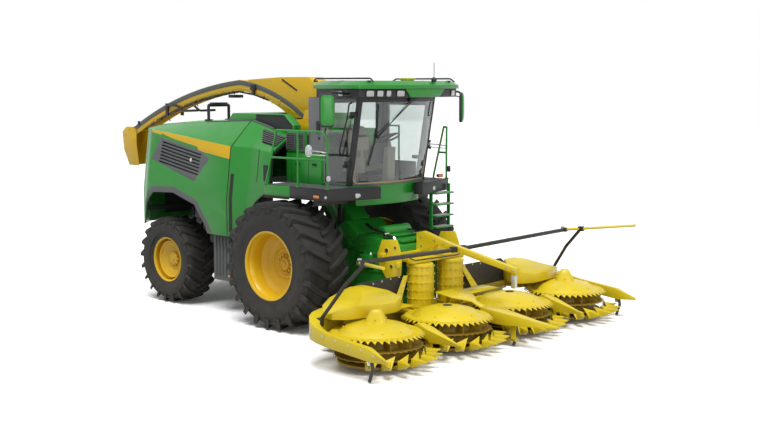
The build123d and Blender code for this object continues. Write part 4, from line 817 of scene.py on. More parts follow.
@dataclass
class Wheel:
    """A tyre with its rim, on one body; sizes in metres."""

    title: str
    side: Side
    x: float
    z: float
    radius: float
    width: float
    centre: float
    rim_r: float
    bead_r: float
    bead_half: float
    disc: float
    lugs: int
    lug_height: float
    bolts: int
    bolt_circle: float
    hub_r: float = 0.165

    @property
    def body(self) -> str:
        """Return the name of the body that turns with the wheel."""
        return f"{self.title}_wheel_{self.side.word}"

    @property
    def middle(self) -> Vector:
        """Return the wheel's centre."""
        return at(self.x, self.side.value * self.centre, self.z)

    @property
    def axis(self) -> Vector:
        """Return the direction from the machine out through the wheel."""
        return Vector((0, self.side.value, 0))

    def around(self, along: float, radius: float, turn: float) -> Vector:
        """Return a point given along the axle, from it, and round it from the top."""
        return self.middle + self.axis * along + Vector((math.sin(turn), 0,
                                                         math.cos(turn))) * radius

    def carcass_r(self, along: float) -> float:
        """Return the radius of the tread between the lugs."""
        half, crown = self.width / 2, self.radius - self.lug_height
        share = abs(along) / half
        return crown - 0.028 * share ** 2 - 0.06 * max(0.0, share - 0.72) ** 1.5 * 4

    def build(self) -> list[bpy.types.Object]:
        """Build the tyre and the rim.

        Returns:
            Both pieces.
        """
        return [self.tyre(), self.rim()]

    def tyre(self) -> bpy.types.Object:
        """Turn the carcass, then set curved lugs round it."""
        half, seat = self.width / 2, self.bead_half
        shoulder = self.carcass_r(half * 0.93)
        foot = self.bead_r + 0.001
        bulge = (foot + shoulder) / 2
        outer = [(seat - 0.045, foot), (seat - 0.002, foot), (seat + 0.0, foot + 0.028),
                 (seat + 0.016, foot + 0.045), (half - 0.034, foot + 0.10),
                 (half - 0.012, bulge - 0.05),
                 (half - 0.006, bulge + 0.03), (half - 0.014, bulge + 0.11),
                 (half - 0.04, shoulder - 0.035), (half * 0.93, shoulder)]
        crown = [(half * share, self.carcass_r(half * share)) for share in (0.8, 0.6, 0.35, 0.12)]
        inner = [(seat - 0.05, foot + 0.03), (half - 0.11, bulge), (half - 0.16, shoulder - 0.09),
                 (0.0, self.carcass_r(0) - 0.07)]
        right = outer + crown
        ring = right + [(-a, r) for a, r in reversed(right)]
        ring += [(-a, r) for a, r in inner] + [(a, r) for a, r in reversed(inner[:-1])] + [right[0]]
        piece = lathe(f"tyre_{self.title}_{self.side.word}_turned", self.middle, self.axis,
                      UP, ring, 120)
        roll_edges(piece, 0.006, 2, 35)
        lugs = []
        for row in (-1, 1):
            model = self.lug(row)
            for index in range(self.lugs):
                turn = (index + (0.5 if row > 0 else 0)) * 2 * math.pi / self.lugs
                spin = (Matrix.Translation(self.middle) @ Matrix.Rotation(turn, 4, "Y")
                        @ Matrix.Translation(-self.middle))
                lugs.append(copy_at(model, f"lug_{row}_{index}", spin))
            bpy.data.objects.remove(model)
        piece = join(piece.name, [piece] + lugs)
        dress(shade(piece, 38), TYRE_RUBBER, self.body)
        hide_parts(f"tyre_{self.title}_{self.side.word}")
        return piece

    def lug(self, row: int) -> bpy.types.Object:
        """Build one curved lug of the tread, on the inner or outer half.

        Args:
            row: 1 for the outer half of the tread, -1 for the inner half.

        Returns:
            The lug at the top of the tyre, without a finish.
        """
        half = self.width / 2
        reach = 0.125
        wide = 0.030 * self.radius / 1.03 + 0.004
        sections = []
        # Share of the half width, swing round the tyre, top's share of the full height
        for share, swing, rise in ((-0.045, 1.02, 0.96), (0.02, 1.0, 1.0), (0.16, 0.84, 1.0),
                                   (0.34, 0.50, 1.0), (0.55, 0.08, 0.995), (0.75, -0.38, 0.99),
                                   (0.90, -0.74, 0.97), (0.965, -0.90, 0.90), (0.985, -0.96, 0.45),
                                   (0.972, -0.98, -0.35)):
            along = row * share * half
            mid = swing * reach
            foot_r = self.carcass_r(min(abs(along),
                                        0.93 * half)) - 0.03 - (0.06 if share > 0.9 else 0)
            top_r = self.radius - self.lug_height * (1 - rise) - 0.012 * share ** 2
            grow = 1.0 + 0.25 * max(0.0, share)
            sections.append([self.around(along, foot_r, mid - wide * 1.45 * grow),
                             self.around(along, top_r, mid - wide * 0.95 * grow),
                             self.around(along, top_r, mid + wide * 0.95 * grow),
                             self.around(along, foot_r, mid + wide * 1.6 * grow)])
        piece = loft("lug", sections)
        roll_edges(piece, 0.007, 2, 40)
        return piece

    def rim(self) -> bpy.types.Object:
        """Turn the wheel dish in one, then bolt it to its hub."""
        wall, seat, bead, disc = 0.012, self.bead_half, self.bead_r, self.disc
        flange = self.rim_r
        well = bead - 0.035
        outer = [(seat + 0.010, flange - 0.004), (seat + 0.006, flange), (seat, flange - 0.003),
                 (seat - 0.001, bead + 0.010), (seat - 0.008, bead), (seat - 0.055, bead - 0.004)]
        hump = [(seat - 0.075, bead - 0.016), (seat - 0.13, well), (disc + 0.16, well)]
        ring = outer + hump + [(-seat + 0.10, well), (-seat + 0.055, bead - 0.004),
                               (-seat, bead), (-seat - 0.008, flange)]
        back = [(-seat - 0.010, flange - 0.008), (-seat + 0.004, bead - wall),
                (-seat + 0.11, well - wall), (disc + 0.10, well - wall)]
        hole = self.hub_r * 0.55
        dish_back = [(disc + 0.085, well - 0.04), (disc - 0.004, 0.60 * bead), (disc - 0.004, hole)]
        steps = [(disc + 0.014, hole), (disc + 0.014, 0.36 * bead), (disc + 0.026, 0.38 * bead),
                 (disc + 0.028, 0.46 * bead), (disc + 0.016, 0.48 * bead),
                 (disc + 0.018, 0.56 * bead),
                 (disc + 0.034, 0.60 * bead), (disc + 0.055, 0.68 * bead),
                 (disc + 0.062, 0.78 * bead),
                 (disc + 0.095, well - 0.045), (disc + 0.118, well - wall - 0.002)]
        front = [(seat - 0.135, well - wall), (seat - 0.08, bead - 0.018 - wall),
                 (seat - 0.055, bead - wall), (seat - 0.004, bead - wall),
                 (seat + 0.007, bead + 0.006), (seat + 0.012, flange - 0.008)]
        piece = lathe(f"rim_{self.title}_{self.side.word}_turned", self.middle, self.axis,
                      UP, ring + back + dish_back + steps + front + [ring[0]], 96)
        roll_edges(piece, 0.003, 2, 30)
        bolts = []
        for index in range(self.bolts):
            turn = 2 * math.pi * (index + 0.5) / self.bolts
            place = self.around(disc + 0.026, self.bolt_circle, turn)
            bolts.append(hex_head(f"bolt_{index}", place, self.axis, 0.022, 0.026))
        hub = lathe("hub", self.middle, self.axis, UP,
                    [(disc + 0.012, 0.0001), (disc + 0.012, hole * 1.25), (disc + 0.05, hole * 1.2),
                     (disc + 0.062, hole * 1.05), (disc + 0.062, hole * 0.5),
                     (disc + 0.075, hole * 0.45),
                     (disc + 0.075, 0.0001)], 48)
        roll_edges(hub, 0.004, 2, 30)
        piece = join(piece.name, [piece, hub] + bolts)
        dress(piece, YELLOW_ENAMEL, self.body)
        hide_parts(f"rim_{self.title}_{self.side.word}")
        return piece


WHEEL_TABLE = (
    # Title, station, height, radius, width, centre, rim, bead, bead half, disc, lugs, lug height,
    # bolts, bolt circle
    ("front", 0.0, FRONT_WHEEL_Z, 1.030, 0.850, 1.345, 0.561, 0.533, 0.385, -0.010, 22, 0.052, 12,
     0.135),
    ("rear", -3.167, 0.77497, 0.770, 0.600, 1.095, 0.405, 0.381, 0.240, 0.060, 20, 0.042, 10,
     0.112),
)


def build_wheels() -> list[bpy.types.Object]:
    """Build all four wheels."""
    return [piece for title, *sizes in WHEEL_TABLE for side in Side
            for piece in Wheel(title, side, *sizes).build()]


@dataclass
class Lamp:
    """A lamp in a moulded housing, with its lens; sizes in metres."""

    name: str
    place: Point
    look: Point
    width: float
    height: float
    depth: float = 0.06
    square: float = 1.0
    lens: Finish = CLEAR_LENS
    housing: Finish = BLACK_ABS
    body: str = "machine"

    def section(self, share: float, along: float) -> list[Vector]:
        """Return an outline of the lamp, scaled and set along its look."""
        look = Vector(self.look).normalized()
        side = look.cross(UP)
        side = side.normalized() if side.length > 0.1 else Vector((0, 1, 0))
        up = side.cross(look)
        return ring_of(at(*self.place) + look * along, side * self.width / 2 * share,
                       up * self.height / 2 * share, 24, self.square)

    def build(self) -> list[bpy.types.Object]:
        """Build the housing and the domed lens."""
        shell = loft(f"{self.name}_housing",
                     [self.section(s, a) for s, a in ((0.55, -self.depth), (0.8, -self.depth * 0.9),
                                                      (0.97, -self.depth * 0.35), (1.0, -0.004),
                                                      (0.985, 0.0), (0.90, 0.0), (0.87, -0.010),
                                                      (0.3, -0.011))])
        lens = loft(f"{self.name}_lens",
                    [self.section(s, a) for s, a in ((0.5, -0.012), (0.88, -0.011), (0.875, -0.003),
                                                     (0.78, 0.003), (0.5, 0.006), (0.18, 0.008))])
        return [dress(shade(shell), self.housing, self.body),
                dress(shade(lens), self.lens, self.body)]


def paired_lamps(table: Iterable[tuple]) -> list[bpy.types.Object]:
    """Build lamps on both sides from rows of Lamp's values.

    Args:
        table: Rows for the left side; each name has a gap for the side's word.

    Returns:
        The pieces of all lamps.
    """
    pieces = []
    for side in Side:
        for name, (x, y, z), (ahead, aside, above), *rest in table:
            pieces += Lamp(name.format(side.word), (x, side.value * y, z),
                           (ahead, side.value * aside, above), *rest).build()
    return pieces


@dataclass
class CabTrim:
    """Brow, lamps, wiper, seals, rails and small parts of the cab."""

    half: float = 0.88
    roof_corner: Point = (1.48, 1.19)
    roof_nose: float = 1.69
    brow_low: float = 3.70
    brow_high: float = 3.835
    band_set: float = 0.030
    nose_sides: Point = (-0.30, 0.60)

    def screen(self, y: float, z: float, out: float = 0.0) -> Point:
        """Return a place on the windscreen, or a distance ahead of it."""
        share = (z - SCREEN_FOOT_Z) / SCREEN_RISE
        corner, middle = 0.970 + SCREEN_LEAN * share, 1.150 + 0.25 * share
        return (corner + (middle - corner) * (1 - (y / self.half) ** 2) + out, y, z)

    def brow(self, y: float, z: float, out: float = 0.0) -> Point:
        """Return a place on the lamp band's front, or a distance ahead of it."""
        corner, side = self.roof_corner
        bow = (self.roof_nose - corner) * (1 - (y / side) ** 2)
        return (corner + bow - self.band_set + out, y, z)

    def build(self) -> list[bpy.types.Object]:
        """Build all of the cab's trim."""
        return (self.roof_parts() + self.lamps() + self.windscreen() + self.sides()
                + self.inside() + self.front_lamps())

    def roof_parts(self) -> list[bpy.types.Object]:
        """Build the nose over the lamp band, and the roof's rail, beacon, antenna and seam."""
        first, last = self.nose_sides
        columns = [first + (last - first) * k / 14 for k in range(15)]
        rows = []
        for y in columns:
            foot = at(*self.brow(y * 0.82 + 0.02, self.brow_low + 0.004, 0.018))
            knee = at(*self.brow(y * 0.9 + 0.01, self.brow_low + 0.05, 0.026))
            head = at(*self.brow(y * 1.12, self.brow_high - 0.003, 0.026))
            back = Vector((-0.03, 0, 0))
            rows.append([foot, knee, head, head + back, knee + back, foot + back])
        nose = dress(roll_edges(loft("roof_nose", rows), 0.006), GREEN_ENAMEL, "machine")
        bars = [rod("roof_bar", ((0.236, -0.93, 3.955), (0.30, -0.95, 3.995), (1.50, -0.95, 3.995),
                                 (1.57, -0.97, 3.94)), 0.013)]
        for x in (0.30, 0.90, 1.46):
            bars.append(slab("roof_foot", (x - 0.03, -0.97, 3.935), (x + 0.03, -0.93, 3.965),
                             0.006))
        rail = group("roof_rail", both_sides(bars), BLACK_POWDER)
        beacon = Lamp("beacon", (1.40, 0.0, 4.002), (0, 0, 1), 0.24, 0.24, 0.045, 0.25,
                      YELLOW_LENS, YELLOW_LENS).build()
        whip = dress(rod("antenna_whip", ((1.615, 0.40, 3.98), (1.615, 0.40, 4.2445)), 0.005),
                     BLACK_ABS, "machine")
        foot = Lamp("antenna_foot", (1.615, 0.40, 3.98), (0, 0, 1), 0.09, 0.09, 0.04, 0.0,
                    BLACK_ABS,
                    BLACK_ABS).build()
        gaps = dress(strip("roof_seams", ((0.62, -1.1, 3.9635), (0.62, 1.1, 3.9635)), (0.003, 0, 0),
                           (0, 0, 0.001)), RUBBER_SHEET, "machine")
        return [nose, rail, gaps, whip] + beacon + foot

    def lamps(self) -> list[bpy.types.Object]:
        """Set the working lamps in the band under the roof's brow."""
        pieces = []
        z = (self.brow_low + self.brow_high) / 2 - 0.006
        for index, (y, width) in enumerate(((0.985, 0.15), (0.81, 0.125), (0.655, 0.10),
                                            (0.42, 0.17))):
            # Only the outermost lamp stands beyond the nose on the left
            for side in Side if index == 0 else (Side.RIGHT,):
                place = self.brow(side.value * y, z, 0.012)
                look = (1.0, side.value * 0.30 * y, -0.10)
                pieces += Lamp(f"roof_lamp_{side.word}_{index}", place, look, width, 0.105, 0.03,
                               0.75).build()
        return pieces + paired_lamps((("side_lamp_{}", (1.02, 1.128, z), (-0.25, 1, -0.1), 0.15,
                                       0.09,
                                       0.03, 0.75),))

    def windscreen(self) -> list[bpy.types.Object]:
        """Build the seal along the windscreen's foot and lower corners, and the wiper in front of
        it.
        """
        low, edge, corner = 2.352, 0.832, 0.07
        columns = [(edge - corner) * k / 7 for k in range(-7, 8)]
        seals = [strip("screen_seal", [self.screen(y, low, 0.002) for y in columns], (0, 0, 0.011),
                       (0.005, 0, 0))]
        for side in Side:
            bend = [self.screen(side.value * (edge - corner * (1 - math.sin(t))),
                                low + corner * (1 - math.cos(t)), 0.002)
                    for t in (0, math.pi / 6, math.pi / 3, math.pi / 2)]
            bend.append(self.screen(side.value * edge, low + 0.22, 0.002))
            seals.append(strip("screen_seal", bend, (0, 0.008, 0.008), (0.005, 0, 0)))
        seal = group("windscreen_seal", seals, SEAL_TAN)
        out = 0.045
        pivot, elbow = self.screen(0.154, 3.69, out), self.screen(-0.537, 3.098, out)
        twin, below = self.screen(0.06, 3.67, out), self.screen(-0.535, 3.075, out)
        arms = [rod("wiper_arm", (pivot, elbow), 0.009), rod("wiper_arm", (twin, below), 0.007)]
        top, low_end = self.screen(-0.585, 3.60, 0.024), self.screen(-0.629, 2.626, 0.024)
        middle = self.screen(-0.55, 3.10, 0.024)
        arms.append(strip("wiper_blade", (top, middle, low_end), (0, 0.007, 0), (0.010, 0, 0)))
        arms.append(slab("wiper_joint", (elbow[0] - 0.03, elbow[1] - 0.03, elbow[2] - 0.04),
                         (elbow[0] + 0.015, elbow[1] + 0.02, elbow[2] + 0.02), 0.006))
        arms.append(slab("wiper_motor", (pivot[0] - 0.06, 0.02, 3.635),
                         (pivot[0] + 0.01, 0.20, 3.70),
                         0.01))
        wiper = group("wiper", arms, BLACK_POWDER)
        return [seal, wiper]

    def sides(self) -> list[bpy.types.Object]:
        """Build pillar covers, side bars, hinge fittings, the door's handle and the low panel."""
        fittings = []
        foot, head = ((0.945 + SCREEN_LEAN / SCREEN_RISE * (z - SCREEN_FOOT_Z), -0.889,
                       z) for z in (2.32, 3.70))
        covers = [strip("pillar_cover", (foot, head), (0.034, 0, 0), (0, 0.009, 0))]
        covers.append(rod("side_bar",
                          ((1.02, -0.93, 3.60), (0.98, -0.93, 3.40), (0.80, -0.93, 2.86),
                                       (0.80, -0.895, 2.78)), 0.012))
        covers.append(rod("side_bar", ((1.05, -0.895, 3.62), (1.02, -0.93, 3.60)), 0.012))
        for x, z in ((1.10, 3.43), (0.965, 2.66)):
            fittings.append(slab("hinge_block", (x - 0.07, -0.935, z - 0.05),
                                 (x + 0.06, -0.893, z + 0.05),
                                 0.012))
            fittings.append(start_round("hinge_knob", (x - 0.03, -0.945, z - 0.03), 0.028, 0.05))
        pieces = [group("pillar_covers", both_sides(covers[:1]) + covers[1:], BLACK_ABS),
                  group("side_fittings", fittings, BLACK_ABS)]
        bars = [rod("door_bar", ((0.86, 0.915, 2.75), (0.86, 0.945, 2.78), (0.99, 0.945, 3.30),
                                 (0.985, 0.915, 3.33)), 0.012),
                slab("door_latch", (0.72, 0.886, 2.66), (0.84, 0.93, 2.72), 0.01)]
        pieces.append(group("door_handle", bars, BLACK_ABS, "cab_door"))
        panel = recess(start_cube("side_panel_low", (0.09, -0.893, 2.32), (0.40, -0.8801, 3.13)),
                       (0, -1, 0), 0.03, 0.004)
        pieces.append(dress(roll_edges(panel, 0.004), PILLAR_GREY, "machine"))
        dots = bolt_row("side_dots",
                        ((0.306, -0.893, 3.042), (0.34, -0.893, 2.80), (0.13, -0.893, 2.42)),
                        (0, -1, 0), 0.016, 0.012)
        pieces.append(dress(dots, BLACK_ABS, "machine"))
        return pieces

    def inside(self) -> list[bpy.types.Object]:
        """Build the armrest's screen, the door's trim and the pedals."""
        dark = [slab("armrest_screen", (0.70, -0.50, 2.90), (0.735, -0.24, 3.10), 0.01)]
        dark.append(recess(start_cube("door_trim", (0.30, 0.812, 2.36), (0.86, 0.834, 2.62)),
                           (0, -1, 0), 0.03, 0.006))
        dark.append(slab("pedal", (0.97, -0.22, 2.24), (1.02, -0.12, 2.34), 0.012))
        dark.append(slab("pedal", (0.97, 0.12, 2.24), (1.02, 0.22, 2.34), 0.012))
        return [group("cab_dark_trim", dark, BLACK_ABS)]

    def front_lamps(self) -> list[bpy.types.Object]:
        """Hang headlamps and markers at both front corners under the walkway."""
        pieces = paired_lamps((
            ("headlamp_{}", (1.20, 0.86, 2.175), (1, 0.15, -0.05), 0.24, 0.10, 0.07, 0.8),
            ("corner_marker_{}", (0.818, 1.462, 2.175), (0, 1, 0), 0.15, 0.055, 0.012, 0.85,
             AMBER_LENS),
            ("corner_light_{}", (1.03, 1.462, 2.175), (0, 1, 0), 0.06, 0.06, 0.012, 0.0)))
        pieces += Lamp("nose_light", (1.16, -0.62, 2.15), (1, -0.3, 0), 0.06, 0.06, 0.03,
                       0.0).build()
        pieces += Lamp("ladder_marker", (1.10, 1.20, 2.37), (1, 0, 0), 0.13, 0.06, 0.06, 0.8,
                       AMBER_LENS).build()
        return pieces


@dataclass
class Mirror:
    """An outside mirror: a black bowl with a green cover, its glass facing the driver."""

    side: Side
    x: float = 1.215
    y: float = 1.60
    low: float = 3.26
    high: float = 3.77
    half_width: float = 0.118
    yaw: float = 33.0

    def build(self) -> list[bpy.types.Object]:
        """Build bowl, cover, glass and arm."""
        turn = math.radians(self.yaw)
        look = Vector((math.cos(turn), self.side.value * math.sin(turn), 0))
        across = Vector((-look.y, look.x, 0)) * self.half_width
        centre = at(self.x, self.side.value * self.y, (self.low + self.high) / 2)
        rise = Vector((0, 0, (self.high - self.low) / 2))

        def form(name: str, rows: Sequence[tuple[float, float]]) -> bpy.types.Object:
            """Loft the mirror's outline through pairs of share and place ahead."""
            return shade(loft(name, [ring_of(centre + look * a, across * s, rise * s, 24, 0.8)
                                     for s, a in rows]))

        bowl = form("bowl", ((0.93, -0.03), (1.0, -0.026), (1.0, 0.0), (0.96, 0.016), (0.90, 0.02)))
        cover = form("cover",
                     ((0.86, 0.012), (0.90, 0.024), (0.82, 0.034), (0.55, 0.040), (0.2, 0.042)))
        glass = form("glass", ((0.88, -0.034), (0.90, -0.032), (0.90, -0.028)))
        y = self.side.value
        arm = [rod("mirror_arm", ((1.215, y * 1.16, 3.76), (1.215, y * 1.50, 3.785),
                                  (1.215, y * 1.60, 3.74)), 0.018),
               rod("mirror_arm", ((1.28, y * 1.16, 3.72), (1.25, y * 1.52, 3.70)), 0.010)]
        word = self.side.word
        black = group(f"mirror_bowl_{word}", [bowl] + arm, BLACK_ABS)
        cover.name, glass.name = f"mirror_cover_{word}", f"mirror_glass_{word}"
        pieces = [black, dress(cover, GREEN_ENAMEL, "machine"), dress(glass, CHROME, "machine")]
        for piece in pieces:
            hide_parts("mirrors")
        return pieces


# Node, body, finish, rolled edge in metres, for the nodes whose CAD shape is kept
SHELLS = (
    ("hood_top", "machine", GREEN_ENAMEL, 0.012),
    ("mid_panels", "machine", GREEN_ENAMEL, 0.014),
    ("rear_panel", "machine", GREEN_ENAMEL, 0.012),
    ("intake_housing", "machine", GREEN_ENAMEL, 0.014),
    ("fenders", "machine", GREEN_ENAMEL, 0.008),
    ("cabinets", "machine", GREEN_ENAMEL, 0.012),
    ("cab_floor", "machine", GREEN_ENAMEL, 0.012),
    ("cab_roof", "machine", GREEN_ENAMEL, 0.020),
    ("walkways", "machine", BLACK_POWDER, 0.006),
    ("rails_and_ladder", "machine", GREEN_ENAMEL, 0.003),
    ("cab_frame", "machine", PILLAR_GREY, 0.008),
    ("cab_door", "cab_door", PILLAR_GREY, 0.008),
    ("lamp_band", "machine", BLACK_ABS, 0.010),
    ("console", "machine", BEIGE_TRIM, 0.010),
    ("chassis", "machine", CHASSIS_PAINT, 0.005),
    ("front_axle", "machine", GREEN_ENAMEL, 0.006),
    ("rear_axle", "machine", GREEN_ENAMEL, 0.006),
    ("engine", "machine", CHASSIS_PAINT, 0.02),
    ("service_boxes", "machine", GREY_MOULDING, 0.010),
    ("rear_hitch", "machine", BLACK_POWDER, 0.005),
    ("crop_unit", "machine", GREEN_ENAMEL, 0.006),
    ("spout_rest", "machine", BLACK_POWDER, 0.004),
    ("knuckle_right", "steer_right", CHASSIS_PAINT, 0.005),
    ("knuckle_left", "steer_left", CHASSIS_PAINT, 0.005),
    ("spout_turret", "spout_base", YELLOW_ENAMEL, 0.005),
    ("spout_arm", "spout", YELLOW_ENAMEL, 0.006),
    ("spout_flap", "spout_flap", YELLOW_ENAMEL, 0.006),
    ("spout_barrel", "spout_barrel", BLACK_POWDER, 0.003),
    ("spout_rod", "spout_rod", CHROME, 0.002),
    ("feeder_house", "header", GREEN_ENAMEL, 0.006),
    ("lift_barrels", "lift_barrels", BLACK_POWDER, 0.003),
    ("lift_rods", "lift_rods", CHROME, 0.002),
    ("header_frame", "header", LEMON_POWDER, 0.005),
    ("header_fingers", "header", LEMON_POWDER, 0.003),
    ("header_guards", "header", LEMON_POWDER, 0.008),
    ("header_flaps", "header", RUBBER_SHEET, 0.002),
    ("push_bars_and_feet", "header", BLACK_POWDER, 0.004),
    ("push_tips", "header", LEMON_POWDER, 0.004),
)


# Faces of kept nodes that carry another finish or painted shade: a test of a face's middle and its
# normal
SECOND_FINISHES = {
    # Cab frame: the near A-pillar's front is black trim; the frame above 3.615 m is black as
    # painted shade under the roof's brow
    "cab_frame": (BLACK_ABS, lambda c, n: c.z > 3.615 or (c.y < -0.80 and c.x > 0.90)),
    "cab_roof": (BLACK_ABS, lambda c, n: c.z > 3.962 or c.z < 3.80),
    # The pan's ring low under the rotors, darkened as painted shade
    "header_frame": (PAINTED_SHADE_POWDER, lambda c, n: c.z < 0.132),
    # The steering wheel and its hub, above the beige column
    "console": (BLACK_ABS, lambda c, n: c.z > 2.955 and c.x > 0.70 and abs(c.y) < 0.30),
}


@dataclass
class SideDoor:
    """One side panel of the hood with its stripe, arch band and grille."""

    side: Side
    stripe_top: tuple[Point, Point] = ((-3.60, 3.105), (-1.30, 2.865))
    stripe_thin: tuple[Point, Point] = ((-3.60, 3.055), (-2.30, 2.893))
    stripe_broad: tuple[Point, Point] = ((-2.20, 2.765), (-1.30, 2.655))
    arch: tuple[Point, ...] = ((-3.89, 1.30), (-3.72, 1.72), (-3.44, 1.985), (-2.84, 2.010),
                               (-2.24, 1.840), (-1.93, 1.480), (-1.85, 1.300))
    band: float = 0.105

    def build(self, frame: dict) -> list[bpy.types.Object]:
        """Build the panel's painted shell and its grille.


        Returns:
            The pieces.
        """
        word = self.side.word
        shell = CadShell(f"side_panel_{word}", f"side_door_{word}", GREEN_ENAMEL,
                         0.014).build(frame)
        self.mark(shell)
        paint_where(shell, YELLOW_ENAMEL, self.in_stripe)
        paint_where(shell, GREY_MOULDING, self.in_band)
        grille = CadShell(f"grille_{word}", f"side_door_{word}", GREY_MOULDING, 0.004).build(frame)
        return [shell, grille]

    def mark(self, shell: bpy.types.Object) -> None:
        """Score the panel's faces along the stripe and the arch band."""
        lines = [self.stripe_top, self.stripe_thin, self.stripe_broad,
                 (self.stripe_thin[1], self.stripe_broad[0])]
        for (x0, z0), (x1, z1) in lines + self.band_lines():
            with editing(shell):
                bpy.ops.mesh.bisect(plane_co=at(x0, 0, z0), plane_no=(z1 - z0, 0, x0 - x1))

    def band_lines(self) -> list[list[tuple[float, float]]]:
        """Return the outer edge of the arch band, run by run."""
        rows = []
        for (x0, z0), (x1, z1) in zip(self.arch, self.arch[1:]):
            across = Vector((z0 - z1, x1 - x0)).normalized() * self.band
            rows.append([(x0 + across.x, z0 + across.y), (x1 + across.x, z1 + across.y)])
        return rows

    def in_stripe(self, centre: Vector, normal: Vector) -> bool:
        """Return whether a face lies in the stripe."""
        x, z = centre.x, centre.z
        if abs(normal.y) < 0.3 or normal.y * self.side.value < 0 or x < -3.60:
            return False

        def below(line: tuple[Point, Point]) -> bool:
            """Return whether the face is below a line."""
            (x0, z0), (x1, z1) = line
            return z < z0 + (z1 - z0) * (x - x0) / (x1 - x0) + 0.0005

        if not below(self.stripe_top):
            return False
        if x < -2.30:
            return not below(self.stripe_thin)
        if x > -2.20:
            return not below(self.stripe_broad)
        return not below((self.stripe_thin[1], self.stripe_broad[0]))

    def in_band(self, centre: Vector, normal: Vector) -> bool:
        """Return whether a face lies in the band round the wheel arch."""
        if abs(normal.y) < 0.3 or normal.y * self.side.value < 0:
            return False
        place = Vector((centre.x, centre.z))
        for a, b in zip(self.arch, self.arch[1:]):
            start, end = Vector(a), Vector(b)
            run = end - start
            share = (place - start).dot(run) / run.length_squared
            across = (place - start).dot(Vector((-run.y, run.x)).normalized())
            if -0.12 < share < 1.12 and -0.02 < across < self.band + 0.001:
                return True
        return False


@dataclass
class Cushion:
    """One padded part of the driver's seat: a crowned pad, its sides drawn in at the seams."""

    name: str
    low: Point
    high: Point
    lean: float = 0.0
    swell: float = 0.028

    def build(self) -> bpy.types.Object:
        """Build the pad between two corners, leaning back from its foot."""
        inner = [value + self.swell for value in self.low]
        outer = [value - self.swell for value in self.high]
        piece = start_cube(self.name, inner, outer)
        with editing(piece):
            bpy.ops.mesh.subdivide(number_cuts=11, smoothness=0.0)
        centre, half = (at(*inner) + at(*outer)) / 2, (at(*outer) - at(*inner)) / 2
        foot = at(*self.low).z
        for vertex in piece.data.vertices:
            share = [(vertex.co[k] - centre[k]) / half[k] for k in range(3)]
            for k in range(3):
                others = [share[j] for j in range(3) if j != k]
                if abs(share[k]) > 0.999:
                    crown = (1 - others[0] ** 4) * (1 - others[1] ** 4)
                    # Sewn channels across the pad
                    seam = 1 - 0.45 * max(abs(math.cos(1.5 * math.pi * s)) ** 12 for s in others)
                    vertex.co[k] += math.copysign(self.swell * crown * seam, share[k])
            vertex.co.x -= self.lean * (vertex.co.z - foot)
        modify(piece, "SUBSURF", levels=2, render_levels=2)
        activate(piece)
        bpy.ops.object.shade_smooth()
        dress(piece, SEAT_CLOTH, "machine")
        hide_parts("seat")
        return piece


def build_seat() -> list[bpy.types.Object]:
    """Build the driver's seat: suspension box with bellows, cushion and backrest."""
    pads = [Cushion("seat_cushion", (0.262, -0.248, 2.487), (0.778, 0.248, 2.612)).build(),
            Cushion("seat_backrest", (0.268, -0.228, 2.622), (0.392, 0.228, 3.228), 0.158).build()]
    base = [slab("bellow", (0.345 - grow, -0.165 - grow, z),
                 (0.675 + grow, 0.165 + grow, z + 0.052), 0.018)
            for z, grow in ((2.182, 0.0), (2.240, -0.012), (2.298, 0.0), (2.356, -0.012),
                            (2.414, 0.0))]
    base.append(slab("seat_pan", (0.275, -0.235, 2.462), (0.765, 0.235, 2.486), 0.010))
    carrier = group("seat_suspension", base, BLACK_ABS)
    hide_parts("seat")
    return pads + [carrier]


@dataclass
class WalkTrim:
    """Tread plates, ladder treads, panel gaps, rail feet and the exhaust's end."""

    deck: float = 2.300
    outer: float = 1.45

    def build(self) -> list[bpy.types.Object]:
        """Build the trim of both walkways, the panel gaps and the exhaust's end."""
        treads = [slab("tread", (x, -1.40, self.deck), (x + 0.27, -0.96, self.deck + 0.006), 0.002)
                  for x in (-0.38, -0.09, 0.20, 0.49, 0.78)]
        studs = []
        for x in (-0.33, -0.04, 0.25, 0.54, 0.83):
            studs += [slab("stud", (x, y, self.deck + 0.005),
                           (x + 0.17, y + 0.018, self.deck + 0.011), 0.002)
                      for y in (-1.34, -1.22, -1.10, -0.99)]
        feet = [start_round("rail_foot", (x, -1.43, self.deck + 0.008), 0.036, 0.014, (0, 0, 1), 20)
                for x in (-0.37, 0.38, 1.04)]
        steps = [strip("step_tread", ((x, 0.945, z), (x, 1.375, z)), (0.012, 0, 0), (0, 0, 0.003))
                 for z in (1.528, 1.718, 1.908, 2.098) for x in (1.11, 1.16, 1.21)]
        gaps = self.gaps()
        pipes = [lathe("stack_end", at(0.292, -0.90, 3.13), UP, FORWARD,
                       [(0.0, 0.030), (0.17, 0.030), (0.19, 0.026), (0.19, 0.020), (0.0, 0.020),
                        (0.0, 0.030)],
                       24)]
        return [group("tread_plates", both_sides(treads + studs), GREY_MOULDING),
                group("rail_feet", both_sides(feet), GREEN_ENAMEL),
                group("step_treads", steps, ZINC),
                group("stack_end", pipes, BLACK_POWDER)] + gaps

    def gaps(self) -> list[bpy.types.Object]:
        """Lay dark seals into the gaps between the bodywork's panels."""
        body = HoodTrim()
        seams = [strip("panel_gap", [body.flank(-1.35, z, 0.0005) for z in (1.42, 2.0, 2.87)],
                       (0.006, 0, 0), (0, 0.003, 0)),
                 strip("panel_gap", [body.slope(-1.35, t, 0.0005) for t in (0.0, 0.5, 1.0)],
                       (0.006, 0, 0), (0, 0.002, 0.003)),
                 strip("panel_gap", [body.flank(-0.74, z, 0.0005) for z in (2.31, 2.84)],
                       (0.005, 0, 0), (0, 0.003, 0))]
        return [group("panel_gaps", both_sides(seams), RUBBER_SHEET)]


